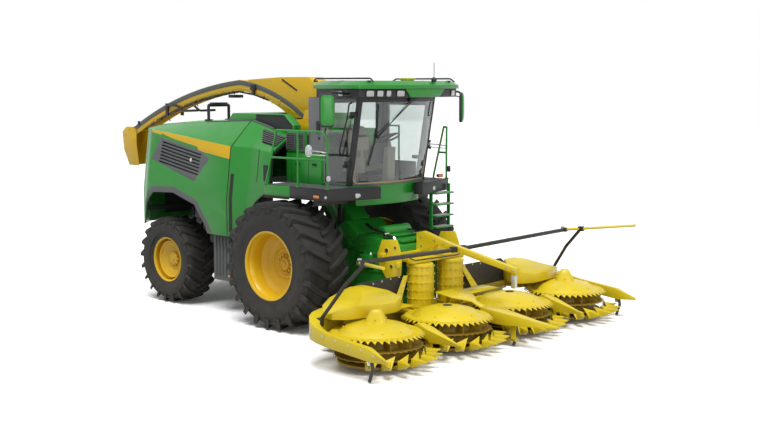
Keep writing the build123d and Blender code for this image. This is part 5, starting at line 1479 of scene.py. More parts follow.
@dataclass
class HoodTrim:
    """Ridge strips, louvres, screens, grooves and lamps on the bodywork."""

    # Station, half width, crease height, ridge half width, ridge height
    stations: tuple[Point, ...] = ((-3.60, 1.435, 3.10, 0.88, 3.195),
                                   (-1.35, 1.45, 2.87, 0.90, 3.285),
                                   (-1.00, 1.30, 2.86, 0.88, 3.20),
                                   (-0.74, 1.345, 2.84, 0.87, 3.13),
                                   (-0.40, 1.40, 2.80, 0.88, 3.06))
    slope_lean: float = 0.126
    arch_r: float = 1.185
    grille: tuple[Point, ...] = ((-3.30, 2.93), (-2.14, 2.74), (-1.93, 2.62), (-2.28, 2.27),
                                 (-3.51, 2.59))

    def station(self, x: float) -> list[float]:
        """Return the body's section values at a station."""
        for low, high in zip(self.stations, self.stations[1:]):
            if x <= high[0]:
                break
        share = (x - low[0]) / (high[0] - low[0])
        return [a + (b - a) * share for a, b in zip(low, high)]

    def flank(self, x: float, z: float, out: float = 0.0) -> Point:
        """Return a place on the right side panel, or a distance outside it."""
        half = self.station(x)[1]
        return (x, -(half - self.slope_lean * max(0.0, z - CREASE_Z)) - out, z)

    def slope(self, x: float, share: float, out: float = 0.0) -> Point:
        """Return a place between the ridge, 0, and the crease, 1, of the right side."""
        half, crease, ridge, ridge_z = self.station(x)[1:]
        lean = half - self.slope_lean * (crease - CREASE_Z)
        y, z = ridge + (lean - ridge) * share, ridge_z + (crease - ridge_z) * share
        run = Vector((0, crease - ridge_z, ridge - lean)).normalized()
        return (x, -(y - run.y * out), z - run.z * out)

    def build(self) -> list[bpy.types.Object]:
        """Build all of the bodywork's trim."""
        return (self.strips() + self.louvres() + self.screens() + self.door_parts()
                + self.edges() + self.rear_lamps())

    def strips(self) -> list[bpy.types.Object]:
        """Lay the dark strip along each ridge."""
        def run(name: str, stations: Sequence[float], y: float) -> bpy.types.Object:
            """Lay one strip along the ridge."""
            points = [(x, -y, self.station(x)[4] + 0.010) for x in stations]
            return roll_edges(strip(name, points, (0, 0.030, 0), (0, 0, 0.013)), 0.006)

        rear = run("ridge_strip", (-2.60, -2.2, -1.8, -1.358), 0.840)
        front = run("ridge_strip_front", (-1.342, -1.00, -0.84), 0.838)
        return [group(p.name, both_sides([p]), GREY_MOULDING) for p in (rear, front)]

    def louvres(self) -> list[bpy.types.Object]:
        """Build the louvred vents on the slope and on the cabinets."""
        slats, backs = [], []
        x_low, x_high = -0.985, -0.43
        middle = (-0.74,)
        tilt = Vector(self.slope(-0.7, 1.0)) - Vector(self.slope(-0.7, 0.0))
        along = tilt.normalized()
        out = Vector(self.slope(-0.7, 0.5, 1.0)) - Vector(self.slope(-0.7, 0.5))
        for index in range(6):
            share = 0.18 + 0.085 * index
            points = [self.slope(x, share, 0.016) for x in (x_low + 0.03 * index, *middle, x_high)]
            slats.append(strip("slat", points, along * 0.013 + out * 0.006, out * 0.0035))
        corners = [self.slope(x, share, 0.004) for x, share in ((x_low, 0.12), (x_high, 0.12),
                                                                (x_high, 0.68),
                                                                (x_low + 0.17, 0.68))]
        backs.append(plate("louvre_back", [at(*c) for c in corners], out * 0.004))
        for index in range(7):
            z = 2.868 + 0.036 * index
            slats.append(strip("slat", ((-0.372, -0.962, z), (0.015, -0.962, z - 0.004)),
                               (0, 0.008, -0.011), (0, -0.003, -0.002)))
        backs.append(start_cube("louvre_back", (-0.385, -0.955, 2.85), (0.028, -0.951, 3.105)))
        for x in (-0.385, -0.18, 0.028):
            slats.append(slab("louvre_frame", (x - 0.008, -0.972, 2.845), (x + 0.008, -0.950, 3.11),
                              0.003))
        return [group("louvre_slats", both_sides(slats), GREY_MOULDING),
                group("louvre_backs", both_sides(backs), BLACK_ABS)]

    def screens(self) -> list[bpy.types.Object]:
        """Build the wire screens of the air intake and behind the rear louvres."""
        window = ((-1.33, 3.392), (-0.64, 3.392), (-0.425, 3.215), (-0.425, 3.165), (-0.72, 3.165),
                  (-1.00, 3.225), (-1.33, 3.305))
        screen = plate("intake_screen", [at(x, -0.7905, z) for x, z in window],
                       Vector((0, -0.004, 0)))
        rim = [strip("screen_rim", ((x0, -0.796, z0), (x1, -0.796, z1)), (0, 0.006, 0),
                     (0, 0, 0.008))
               for (x0, z0), (x1, z1) in zip(window, window[1:]) if abs(x1 - x0) > 0.01]
        rear = strip("rear_screen", ((-4.121, 0, 1.50), (-4.121, 0, 1.90), (-3.961, 0, 2.70)),
                     (0, 0.66, 0), (0.004, 0, 0))
        return [dress(rear, WIRE_SCREEN, "machine"),
                group("intake_screens", both_sides([screen]), WIRE_SCREEN),
                group("intake_rims", both_sides(rim), BLACK_ABS)]

    def door_parts(self) -> list[bpy.types.Object]:
        """Build the screen behind each grille and the door's catch."""
        pieces = []
        corners = [at(*self.flank(x, z, -0.048)) for x, z in self.grille]
        back = plate("grille_screen_right", corners, Vector((0, 0.004, 0)))
        catch = Lamp("door_catch", self.flank(-2.40, 2.60, 0.004), (0, -1, 0.1), 0.05, 0.07, 0.01,
                     0.2,
                     CHROME, BLACK_ABS, "side_door_right")
        cap = loft("door_catch_cap", [catch.section(s, a) for s, a in ((1.0, -0.01), (1.0, 0.0),
                                                                       (0.8, 0.008), (0.3, 0.012))])
        for side, move in ((Side.RIGHT, None), (Side.LEFT, True)):
            body = f"side_door_{side.word}"
            for piece, name, finish in ((back, "grille_screen", BLACK_ABS),
                                        (cap, "door_catch", ZINC)):
                own = mirrored(piece, f"{name}_{side.word}") if move else piece
                own.name = f"{name}_{side.word}"
                pieces.append(dress(own, finish, body))
        return pieces

    def edges(self) -> list[bpy.types.Object]:
        """Build the groove as a dark strip of painted shade, the rubber lips over the front tyres
        and the recessed handles.
        """
        # The groove is a flat dark strip: painted shade in the recessed slot at the seam
        groove = [strip("groove", [self.flank(-1.285, z, 0.001) for z in (1.44, 2.0, 2.42)],
                        (0.026, 0.011, 0), (0, 0.004, 0))]
        lip = []
        for turn in range(18, 77, 6):
            angle = math.radians(turn)
            x, z = -self.arch_r * math.sin(angle), FRONT_WHEEL_Z + self.arch_r * math.cos(angle)
            lip.append((x, self.flank(max(x, -1.34), z, 0.004)[1], z))
        lips = [strip("arch_lip", lip, (0, 0.014, 0), (0.010, 0, 0.016)),
                strip("fender_lip", ((-0.395, -1.456, 2.112), (0.195, -1.456, 2.112)),
                      (0, 0.010, 0),
                      (0, 0, 0.020))]
        handle = [roll_edges(recess(start_cube("handle", (-0.53, -1.352, 2.34),
                                               (-0.455, -1.318, 2.60)),
                                    (0, -1, 0), 0.016, 0.012), 0.006)]
        seams = [slab("seam", (x - 0.003, -0.9525, 2.31), (x + 0.003, -0.949, 2.785), 0.001)
                 for x in (-0.286, 0.117)]
        seams.append(slab("seam", (-0.41, -0.9525, 2.806), (0.03, -0.949, 2.812), 0.001))
        handles = [roll_edges(recess(start_cube("cabinet_handle", (x, -0.962, 2.60),
                                                (x + 0.10, -0.948, 2.64)),
                                     (0, -1, 0), 0.008, 0.006), 0.003) for x in (-0.18, 0.21)]
        return [group("arch_lips", both_sides(groove + lips), RUBBER_SHEET),
                group("panel_handles", both_sides(handle), BLACK_ABS),
                group("cabinet_fittings", seams + handles, BLACK_ABS)]

    def rear_lamps(self) -> list[bpy.types.Object]:
        """Set tail lamps and work lamps on the rear panel, and reflectors on the service boxes."""
        pieces = paired_lamps((
            ("tail_lamp_{}_0", (-4.118, 0.78, 2.02), (-1, 0, 0.05), 0.16, 0.11, 0.04, 0.8,
             RED_LENS),
            ("tail_lamp_{}_1", (-4.118, 0.78, 2.16), (-1, 0, 0.05), 0.16, 0.11, 0.04, 0.8,
             AMBER_LENS),
            ("rear_work_lamp_{}", (-4.035, 0.70, 2.82), (-1, 0, -0.1), 0.14, 0.10, 0.05, 0.8),
            ("box_marker_{}", (-1.46, 1.326, 0.66), (0, 1, 0), 0.07, 0.045, 0.02, 0.8, AMBER_LENS),
            ("work_lamp_{}", (0.66, 1.46, 2.88), (0.75, 0.66, 0), 0.11, 0.19, 0.07, 0.1, CLEAR_LENS,
             CHROME),
            ("step_lamp_{}", (1.09, 1.455, 2.47), (0.6, 0.8, 0), 0.08, 0.11, 0.05, 0.2)))
        arms = [rod("lamp_arm", ((0.63, -1.43, 2.88), (0.80, -1.435, 2.88), (1.04, -1.435, 2.86)),
                    0.010),
                rod("lamp_arm", ((1.04, -1.43, 2.47), (1.075, -1.45, 2.47)), 0.012),
                rod("lamp_arm", ((0.62, -1.435, 2.86), (0.72, -1.435, 2.82), (1.04, -1.435, 2.82)),
                    0.008)]
        pieces.append(group("lamp_arms", both_sides(arms), ZINC))
        return pieces


@dataclass
class SpoutTrim:
    """Dark band, flanges, clamps, pipes and bolts of the discharge spout."""

    root: Point = (-0.60, 3.33)
    rise: Point = (-1.40, 3.745)
    knee: Point = (-2.50, 3.985)
    fall: Point = (-4.15, 3.69)
    tail: Point = (-5.80, 3.045)
    half: float = 0.165

    def arc(self, start: Point, middle: Point, end: Point,
            steps: int) -> list[tuple[Vector, Vector]]:
        """Return places along a round arc with the way inward at each, in X and Z."""
        a, b, c = (Vector(p) for p in (start, middle, end))
        d = 2 * (a.x * (b.y - c.y) + b.x * (c.y - a.y) + c.x * (a.y - b.y))
        centre = Vector((((a.length_squared) * (b.y - c.y) + b.length_squared * (c.y - a.y)
                          + c.length_squared * (a.y - b.y)) / d,
                         ((a.length_squared) * (c.x - b.x) + b.length_squared * (a.x - c.x)
                          + c.length_squared * (b.x - a.x)) / d))
        radius = (a - centre).length
        first, last = (math.atan2(p.y - centre.y, p.x - centre.x) for p in (a, c))
        rows = []
        for k in range(steps + 1):
            turn = first + (last - first) * k / steps
            way = Vector((math.cos(turn), math.sin(turn)))
            rows.append((centre + way * radius, -way))
        return rows

    def crown(self) -> list[tuple[Vector, Vector]]:
        """Return the arm's top line from its root to its tail."""
        return self.arc(self.root, self.rise, self.knee, 14) + self.arc(self.knee, self.fall,
                                                                        self.tail, 18)[1:]

    def build(self) -> list[bpy.types.Object]:
        """Build the spout's trim."""
        return [self.band(), self.flanges(), self.clamps(), self.pipes()] + self.flap_parts()

    def band(self) -> bpy.types.Object:
        """Build the dark band below the arm's top edge, on both sides."""
        line = self.crown()
        sections = []
        for index, (place, inward) in enumerate(line):
            share = index / (len(line) - 1)
            top = place + inward * (0.006 + 0.050 * max(0.0, 1 - share / 0.42))
            foot = top + inward * 0.082
            sections.append([at(top.x, -self.half - 0.007, top.y),
                             at(top.x, -self.half + 0.001, top.y),
                             at(foot.x, -self.half + 0.001, foot.y),
                             at(foot.x, -self.half - 0.007, foot.y)])
        strap = loft("spout_band", sections)
        return group("spout_band", both_sides([roll_edges(strap, 0.003)]), GREY_MOULDING,
                "spout")

    def flanges(self) -> bpy.types.Object:
        """Build the bolted flanges between the arm's sections, and the rib along its foot."""
        pieces = []
        line = self.crown()
        for index in (6, 11, 17, 23, 28):
            place, inward = line[index]
            top, foot = place + inward * 0.10, place + inward * 0.20
            pieces.append(strip("spout_flange", ((top.x, -self.half - 0.006, top.y),
                                                 (foot.x, -self.half - 0.006, foot.y)),
                                (0.012, 0, 0), (0, 0.006, 0)))
            low, high = place + inward * 0.13, place + inward * 0.18
            pieces.append(bolt_row("spout_bolt", ((low.x, -self.half - 0.011, low.y),
                                                  (high.x, -self.half - 0.011, high.y)), (0, -1, 0),
                                   0.009))
        rail = [place + inward * 0.150 for place, inward in line[3:-2]]
        pieces.append(strip("spout_rib", [(p.x, -self.half - 0.002, p.y) for p in rail],
                            (0, 0.004, 0), (0, 0, 0.006)))
        return group("spout_flanges", both_sides(pieces), YELLOW_ENAMEL, "spout")

    def clamps(self) -> bpy.types.Object:
        """Build the black clamps round the arm and the slot on its root."""
        blocks = [slab("clamp", (-2.17, -0.205, 3.80), (-2.03, -0.168, 3.90), 0.012),
                  slab("clamp", (-2.12, -0.20, 3.73), (-2.07, -0.168, 3.81), 0.008),
                  slab("clamp", (-4.69, -0.196, 3.30), (-4.60, -0.166, 3.54), 0.010),
                  rod("clamp_rod",
                      ((-4.64, -0.20, 3.50), (-4.30, -0.20, 3.50), (-4.12, -0.20, 3.40),
                                    (-3.66, -0.20, 3.42)), 0.022),
                  slab("clamp", (-2.90, -0.10, 3.66), (-2.70, 0.10, 3.715), 0.012),
                  slab("clamp", (-5.62, -0.185, 3.10), (-5.55, -0.166, 3.18), 0.008),
                  strip("root_slot", ((-1.36, -0.168, 3.99), (-0.98, -0.168, 3.80)), (0, 0.003, 0),
                        (0.008, 0, 0.012))]
        return group("spout_clamps", both_sides(blocks[:4]) + blocks[4:], BLACK_POWDER,
                "spout")

    def pipes(self) -> bpy.types.Object:
        """Clip steel oil pipes along the arm's lower edge."""
        line = self.crown()
        runs = []
        for drop, y in ((0.205, -0.17), (0.222, -0.155)):
            points = []
            for place, inward in line[8:-3:3]:
                low = place + inward * drop
                points.append((low.x, y, low.y))
            runs.append(rod("oil_pipe", points, 0.009, 8))
        for place, inward in line[9:-4:6]:
            low = place + inward * 0.205
            runs.append(slab("pipe_clip", (low.x - 0.02, -0.185, low.y - 0.03),
                             (low.x + 0.02, -0.15, low.y + 0.02), 0.004))
        return group("spout_pipes", runs, BLACK_POWDER, "spout")

    def flap_parts(self) -> list[bpy.types.Object]:
        """Build the deflector's stiffening ribs and its pivot bolts."""
        ribs = [strip("flap_rib",
                      ((-6.02, y, 3.045), (-6.135, y, 2.95), (-6.10, y, 2.61), (-5.94, y, 2.31)),
                      (0, 0.004, 0), (0.006, 0, 0.004)) for y in (-0.09, 0.0, 0.09)]
        heads = bolt_row("flap_bolt",
                         ((-5.72, -0.186, 2.985), (-5.90, -0.184, 3.02), (-6.05, -0.184, 2.90),
                                       (-6.03, -0.184, 2.62), (-5.75, -0.184, 2.80)), (0, -1, 0),
                         0.013)
        return [group("flap_ribs", ribs + both_sides([heads]), YELLOW_ENAMEL, "spout_flap")]


def toothed_disc(name: str, centre: Point, radius: float, depth: float, teeth: int,
                 thickness: float, drop: float = 0.0) -> bpy.types.Object:
    """Cut a disc with hooked teeth that may be bent down.

    Args:
        name: Name of the piece.
        centre: Middle of its lower face, from the front axle.
        radius: Radius at the teeth's tips.
        depth: Depth of the teeth.
        teeth: Number of teeth.
        thickness: Thickness of the sheet.
        drop: How far the tips lie below the disc.

    Returns:
        The disc, without a finish.
    """
    middle, root = at(*centre), radius - depth
    sheet = start_round(name, (centre[0], centre[1], centre[2] + thickness / 2), root + 0.002,
                        thickness,
                        (0, 0, 1), teeth * 2)
    half = 0.42 * 2 * math.pi * root / teeth
    corners = [middle + Vector((root - 0.012, -half, 0)), middle + Vector((root - 0.012, half, 0)),
               middle + Vector((radius, 0.35 * half, -drop))]
    tooth = plate(f"{name}_tooth", corners, Vector((0, 0, thickness)))
    return join(name, [sheet] + round_and_round(tooth, middle, teeth))


def round_and_round(piece: bpy.types.Object, centre: Vector, count: int) -> list[bpy.types.Object]:
    """Repeat a piece about an upright axis, with the first one kept."""
    away, back = Matrix.Translation(centre), Matrix.Translation(-centre)
    return [piece] + [copy_at(piece, f"{piece.name}_{k}",
                              away @ Matrix.Rotation(2 * math.pi * k / count, 4, "Z") @ back)
                      for k in range(1, count)]


@dataclass
class RotorSet:
    """The four cutting rotors: toothed discs under a low cone."""

    x: float = 2.885
    pitch: float = 1.54
    teeth: int = 44
    tip_r: float = 0.684
    tooth: float = 0.052
    # Height and radius round the cone's sheet, from the hub outward and back inside
    cone: tuple[Point, ...] = (
        (0.650, 0.062), (0.657, 0.080), (0.655, 0.105), (0.641, 0.232), (0.633, 0.250),
        (0.597, 0.402),
        (0.587, 0.418), (0.531, 0.506), (0.5125, 0.522), (0.510, 0.60), (0.510, 0.628),
        (0.500, 0.630),
        (0.500, 0.40), (0.580, 0.38), (0.620, 0.20), (0.630, 0.062), (0.650, 0.062))
    drum: tuple[Point, ...] = (
        (0.498, 0.42), (0.338, 0.42), (0.338, 0.60), (0.326, 0.60), (0.326, 0.43), (0.202, 0.42),
        (0.202, 0.58), (0.190, 0.58), (0.190, 0.40), (0.498, 0.40), (0.498, 0.42))

    def build(self) -> list[bpy.types.Object]:
        """Build one rotor, then set copies of it on all four bodies."""
        y = -1.5 * self.pitch
        centre = at(self.x, y, 0)
        top = [roll_edges(lathe("rotor_cone", centre, UP, FORWARD,
                                [tuple(p) for p in self.cone], 72), 0.004),
               toothed_disc("rotor_teeth", (self.x, y, 0.500), self.tip_r, self.tooth, self.teeth,
                            0.008,
                            0.036)]
        rib = start_cube("rotor_rib", (self.x + 0.535, y - 0.006, 0.508),
                         (self.x + 0.622, y + 0.006, 0.516))
        top += round_and_round(rib, centre, self.teeth)
        head = hex_head("rotor_bolt", at(self.x + 0.462, y, 0.560), Vector((0.62, 0, 0.78)), 0.013,
                        0.011)
        top += round_and_round(head, centre, 10)
        inner = hex_head("rotor_bolt", at(self.x + 0.17, y, 0.648), Vector((0.1, 0, 0.99)), 0.011,
                         0.010)
        top += round_and_round(inner, centre, 6)
        low = [roll_edges(lathe("rotor_drum", centre, UP, FORWARD,
                                [tuple(p) for p in self.drum], 60), 0.002),
               toothed_disc("rotor_teeth_low", (self.x, y, 0.326), self.tip_r - 0.020, self.tooth,
                            self.teeth, 0.008),
               toothed_disc("rotor_knives", (self.x, y, 0.188), 0.602, 0.06, 24, 0.005)]
        blade = strip("rotor_web", ((self.x + 0.415, y, 0.42), (self.x + 0.60, y + 0.05, 0.42)),
                      (0, 0, 0.075), (0, 0.004, 0))
        low += round_and_round(blade, centre, 11)
        # The drums, lower toothed discs and knives under the cones take the darkened powder coat as
        # painted shade
        models = {"cone": (join("rotor_top", top), LEMON_POWDER),
                  "drum": (join("rotor_low", low), PAINTED_SHADE_POWDER),
                  "hub": (self.hub(y), BLACK_POWDER), "cap": (self.cap(y), LEMON_POWDER)}
        pieces = []
        for index in range(4):
            capped = index in (0, 3)
            shift = Matrix.Translation((0, self.pitch * index, 0))
            for part in ("cone", "drum", "cap" if capped else "hub"):
                model, finish = models[part]
                piece = copy_at(model, f"rotor_{index + 1}_{part}", shift)
                dress(shade(piece, 30), finish, f"rotor_{index + 1}")
                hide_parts(f"rotor_{index + 1}")
                pieces.append(piece)
        for model, _ in models.values():
            bpy.data.objects.remove(model)
        return pieces

    def hub(self, y: float) -> bpy.types.Object:
        """Build the black slotted hub in the middle of an inner rotor."""
        parts = [lathe("hub_cup", at(self.x, y, 0), UP, FORWARD,
                       [(0.645, 0.0001), (0.645, 0.040), (0.659, 0.046), (0.661, 0.068),
                        (0.652, 0.072),
                        (0.635, 0.070), (0.635, 0.0001)], 40),
                 slab("hub_bar", (self.x - 0.045, y - 0.012, 0.640),
                      (self.x + 0.045, y + 0.012, 0.655),
                      0.003)]
        return join("rotor_hub", parts)

    def cap(self, y: float) -> bpy.types.Object:
        """Build the raised cap with soft flats on an outer rotor."""
        ahead, aside = Vector((0.8, 0.6, 0)), Vector((-0.6, 0.8, 0))
        rows = [ring_of(at(self.x, y, z), ahead * a, aside * b, 28, s) for z, a, b, s in (
            (0.600, 0.168, 0.158, 0.55), (0.640, 0.156, 0.148, 0.6), (0.70, 0.132, 0.126, 0.6),
            (0.765, 0.100, 0.104, 0.6), (0.805, 0.076, 0.084, 0.55), (0.823, 0.058, 0.068, 0.5),
            (0.829, 0.032, 0.040, 0.3))]
        parts = [loft("rotor_cap", rows)]
        head = hex_head("cap_bolt", at(self.x + 0.11, y + 0.083, 0.70), Vector((0.7, 0.5, 0.5)),
                        0.012, 0.010)
        parts += round_and_round(head, at(self.x, y, 0), 4)
        return join("rotor_cap", parts)


@dataclass
class DrumPair:
    """The two upright feed drums with their toothed rings."""

    x: float = 2.010
    y: float = 0.362
    low: float = 0.448
    high: float = 1.152
    core: float = 0.198
    tip: float = 0.225

    def build(self) -> list[bpy.types.Object]:
        """Build one drum and set it on both bodies."""
        centre = at(self.x, -self.y, 0)
        profile = [(self.low, 0.034), (self.low, self.core - 0.012), (self.low + 0.01, self.core),
                   (self.high - 0.01, self.core), (self.high, self.core - 0.012),
                   (self.high, 0.034),
                   (self.low, 0.034)]
        parts = [roll_edges(lathe("drum_core", centre, UP, FORWARD, profile, 56),
                            0.003)]
        step = (self.high - self.low - 0.08) / 5
        for ring in range(6):
            z = self.low + 0.034 + ring * step
            parts.append(toothed_disc("drum_ring", (self.x, -self.y, z), self.tip, 0.020, 16,
                                      0.012))
        bar = strip("drum_bar", ((self.x + self.core + 0.002, -self.y, self.low + 0.05),
                                 (self.x + self.core + 0.002, -self.y, self.high - 0.05)),
                    (0, 0.006, 0), (0.006, 0, 0))
        parts += round_and_round(bar, centre, 8)
        model = shade(join("drum_model", parts), 30)
        pieces = []
        for side in Side:
            name = f"feed_drum_{side.word}"
            piece = (copy_at(model, f"{name}_turned", Matrix.Identity(4)) if side is Side.RIGHT
                     else mirrored(model, f"{name}_turned"))
            dress(piece, LEMON_POWDER, name)
            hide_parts(name)
            pieces.append(piece)
        bpy.data.objects.remove(model)
        return pieces


@dataclass
class HeaderTrim:
    """Stalk guides, bolts, clamps, brackets and pipes of the header."""

    rotor_x: float = 2.885
    pitch: float = 1.54
    angles: tuple[int, ...] = (-54, -36, -18, 0, 18, 36, 54)
    tower_y: float = 0.722

    def build(self) -> list[bpy.types.Object]:
        """Build all of the header's trim."""
        return (self.guides() + self.bolts() + self.tower_parts() + self.dark_parts()
                + self.feeder_parts())

    def guides(self) -> list[bpy.types.Object]:
        """Set a leaning guide blade and a rod at the root of every finger."""
        blades = []
        for index in range(4):
            y = self.pitch * (index - 1.5)
            lean = 1 if index < 2 else -1
            for angle in self.angles:
                turn = math.radians(angle)
                ahead = Vector((math.cos(turn), math.sin(turn), 0))
                aside = Vector((-math.sin(turn), math.cos(turn), 0)) * lean
                centre = at(self.rotor_x, y, 0)

                def place(reach: float, side: float, z: float) -> Vector:
                    """Return a place at a reach from the rotor's axis."""
                    return centre + ahead * reach + aside * side + Vector((0, 0, z))

                corners = [place(0.712, -0.058, 0.238), place(0.745, 0.055, 0.120),
                           place(0.655, 0.135, 0.300)]
                blades.append(plate("guide_blade", corners, ahead * 0.005))
                rib = [place(0.70, -0.05, 0.238), place(0.915, 0.0, 0.217)]
                across, rise = aside * 0.004, Vector((0, 0, 0.006))
                blades.append(loft("guide_ridge",
                                   [[p - across - rise, p + across - rise, p + across + rise,
                                                    p - across + rise] for p in rib]))
        return [group("stalk_guides", blades, LEMON_POWDER, "header")]

    def bolts(self) -> list[bpy.types.Object]:
        """Bolt the guards, the hoods, the dividers and the boom."""
        rows = [bolt_row("guard_bolt", [(x, -3.081, z) for x, z in ((2.62, 0.515), (2.86, 0.490),
                                                                    (3.10, 0.462), (3.34, 0.440),
                                                                    (3.56, 0.395))], (0, -1, 0),
                         0.013),
                bolt_row("guard_bolt", [(2.30, -3.014, 0.55), (2.30, -3.014, 0.48)],
                         (-0.3, -0.95, 0), 0.013)]
        rows.append(bolt_row("boom_bolt", [(x, -0.0425, z) for x, z in ((1.74, 1.50), (1.74, 1.36),
                                                                        (2.02, 1.47), (2.20, 1.44),
                                                                        (3.42, 1.19),
                                                                        (3.53, 1.16))],
                             (0, -1, 0), 0.014))
        return [group("header_bolts", both_sides(rows), ZINC, "header")]

    def tower_parts(self) -> list[bpy.types.Object]:
        """Build the plates beside the drums, the bolts along the rubber sheets, blocks, a lip and
        holes.
        """
        yellow, black, zinc = [], [], []
        yellow.append(plate("drum_side", [at(1.985, -0.735, 0.99), at(1.985, -0.64, 0.985),
                                          at(2.045, -0.86, 0.62), at(2.045, -1.02, 0.62)],
                            Vector((0.006, 0, 0))))
        zinc.append(bolt_row("drum_side_bolt", ((1.999, -0.715, 0.93), (2.015, -0.775, 0.83),
                                                (2.03, -0.84, 0.74), (2.045, -0.93, 0.66)),
                             (1, 0, 0.1), 0.011))
        zinc.append(bolt_row("sheet_bolt",
                             [(1.948 + 0.0405 * t, -0.80 - 1.0 * t, 0.968 - 0.07 * t * t)
                                            for t in (0.0, 0.2, 0.4, 0.6, 0.8)], (1, 0, 0), 0.012))
        # The holes are flat black discs in raised rims: painted shade of their insides
        for x, z, r in ((1.62, 1.34, 0.036), (1.80, 1.40, 0.020), (1.72, 1.10, 0.028),
                        (1.82, 0.80, 0.020)):
            black.append(start_round("tower_hole", (x, -self.tower_y - 0.001, z), r, 0.004,
                                     (0, 1, 0), 24))
            yellow.append(lathe("tower_boss", at(x, -self.tower_y, z), Vector((0, -1, 0)), UP,
                                [(0.0, r + 0.012), (0.004, r + 0.010), (0.005, r + 0.001),
                                 (0.0, r)], 24))
        yellow.append(slab("tower_block", (1.86, -0.80, 1.10), (1.935, -0.7225, 1.19), 0.010))
        yellow.append(slab("tower_block", (1.50, -0.775, 1.22), (1.62, -0.7225, 1.30), 0.010))
        yellow.append(slab("beam_foot", (1.765, -2.10, 0.60), (1.86, -1.95, 0.64), 0.010))
        beam = strip("cross_lip", ((1.935, -0.66, 1.232), (1.935, 0.66, 1.232)), (0.012, 0, 0),
                     (0, 0, 0.012))
        return [group("header_yellow_trim", both_sides(yellow) + [beam], LEMON_POWDER,
                 "header"),
                group("header_holes", both_sides(black), BLACK_POWDER, "header"),
                group("header_small_bolts", both_sides(zinc), ZINC, "header")]

    def dark_parts(self) -> list[bpy.types.Object]:
        """Build the bowed bar, the strut brackets and the fittings of the feet and push bars."""
        dark = [rod("bow_bar", ((2.085, -0.70, 1.262), (2.10, -0.60, 1.222), (2.10, 0.0, 1.205),
                                (2.10, 0.45, 1.20), (2.09, 0.66, 1.255)), 0.010)]
        pairs = [slab("strut_bracket", (2.225, -2.84, 0.56), (2.31, -2.75, 0.68), 0.012),
                 slab("strut_knee", (2.93, -2.68, 1.45), (3.02, -2.60, 1.53), 0.010),
                 slab("bar_socket", (2.42, -0.17, 1.33), (2.50, -0.055, 1.42), 0.012)]
        collar = [slab("bar_end", (2.715, -2.53, 1.435), (2.785, -2.455, 1.505), 0.012)]
        dark += both_sides(pairs)
        zinc = both_sides([slab("foot_bracket", (3.42, -3.062, 0.245), (3.48, -3.020, 0.335),
                                0.008),
                           hex_head("foot_bolt", at(3.45, -3.063, 0.29), Vector((0, -1, 0)), 0.014,
                                    0.012),
                           slab("bar_clip", (2.70, -2.49, 1.495), (2.74, -2.44, 1.525), 0.006)])
        zinc += [slab("foot_bracket", (3.515, -0.022, 0.225), (3.565, 0.022, 0.33), 0.008),
                 slab("boom_hanger", (3.493, -0.030, 0.885), (3.575, 0.030, 1.085), 0.010)]
        return [group("header_dark_trim", dark + both_sides(collar), BLACK_POWDER, "header"),
                group("header_brackets", zinc, ZINC, "header")]

    def feeder_parts(self) -> list[bpy.types.Object]:
        """Build ribs, covers and clamped steel pipes on the feeder housing."""
        green = [slab("feeder_cover", (0.86, -0.40, 1.47), (1.36, 0.40, 1.515), 0.018),
                 slab("feeder_cap", (1.40, -0.36, 1.42), (1.62, 0.36, 1.475), 0.016),
                 start_round("feeder_drive", (1.13, 0.0, 1.545), 0.10, 0.62, (0, 1, 0), 32)]
        pairs = [slab("feeder_rib", (0.80, -0.478, 1.20), (1.62, -0.459, 1.24), 0.006),
                 slab("feeder_rib", (0.80, -0.478, 0.92), (1.62, -0.459, 0.955), 0.006),
                 slab("gear_case", (0.86, -0.545, 0.98), (1.12, -0.462, 1.20), 0.022),
                 start_round("gear_cover", (1.34, -0.485, 1.09), 0.115, 0.055, (0, 1, 0), 32)]
        green = [roll_edges(piece, 0.008) for piece in green[2:]] + green[:2] + both_sides(pairs)
        dark = []
        for offset, z in ((0.0, 1.545), (0.045, 1.535)):
            dark.append(rod("feeder_pipe",
                            ((0.80, -0.30 - offset, 1.66), (0.95, -0.33 - offset, z + 0.06),
                                            (1.20, -0.36 - offset, z + 0.02),
                             (1.50, -0.40 - offset, 1.49),
                                            (1.63, -0.44 - offset, 1.30)), 0.014))
            dark.append(rod("feeder_pipe",
                            ((0.82, 0.24 + offset, 1.64), (1.00, 0.24 + offset, z + 0.05),
                                            (1.45, 0.20 + offset, 1.53),
                             (1.63, 0.22 + offset, 1.38)), 0.012))
        chrome = [start_round("pipe_union", (x, y, z), 0.022, 0.05, axis, 6) for x, y, z, axis in (
            (0.98, -0.335, 1.60, (1, -0.1, -0.2)), (1.02, 0.25, 1.585, (1, 0, -0.1)),
            (1.50, -0.405, 1.485, (0.6, -0.2, -0.7)), (0.90, -0.50, 1.21, (0, 1, 0)),
            (1.08, -0.50, 1.21, (0, 0, 1)), (1.36, 0.18, 1.545, (1, 0, -0.1)))]
        chrome += [slab("pipe_clamp", (1.28, -0.43, 1.505), (1.33, -0.34, 1.56), 0.006)]
        return [group("feeder_fittings", green, GREEN_ENAMEL, "header"),
                group("feeder_pipes", dark, BLACK_POWDER, "header"),
                group("feeder_unions", chrome, CHROME, "header")]


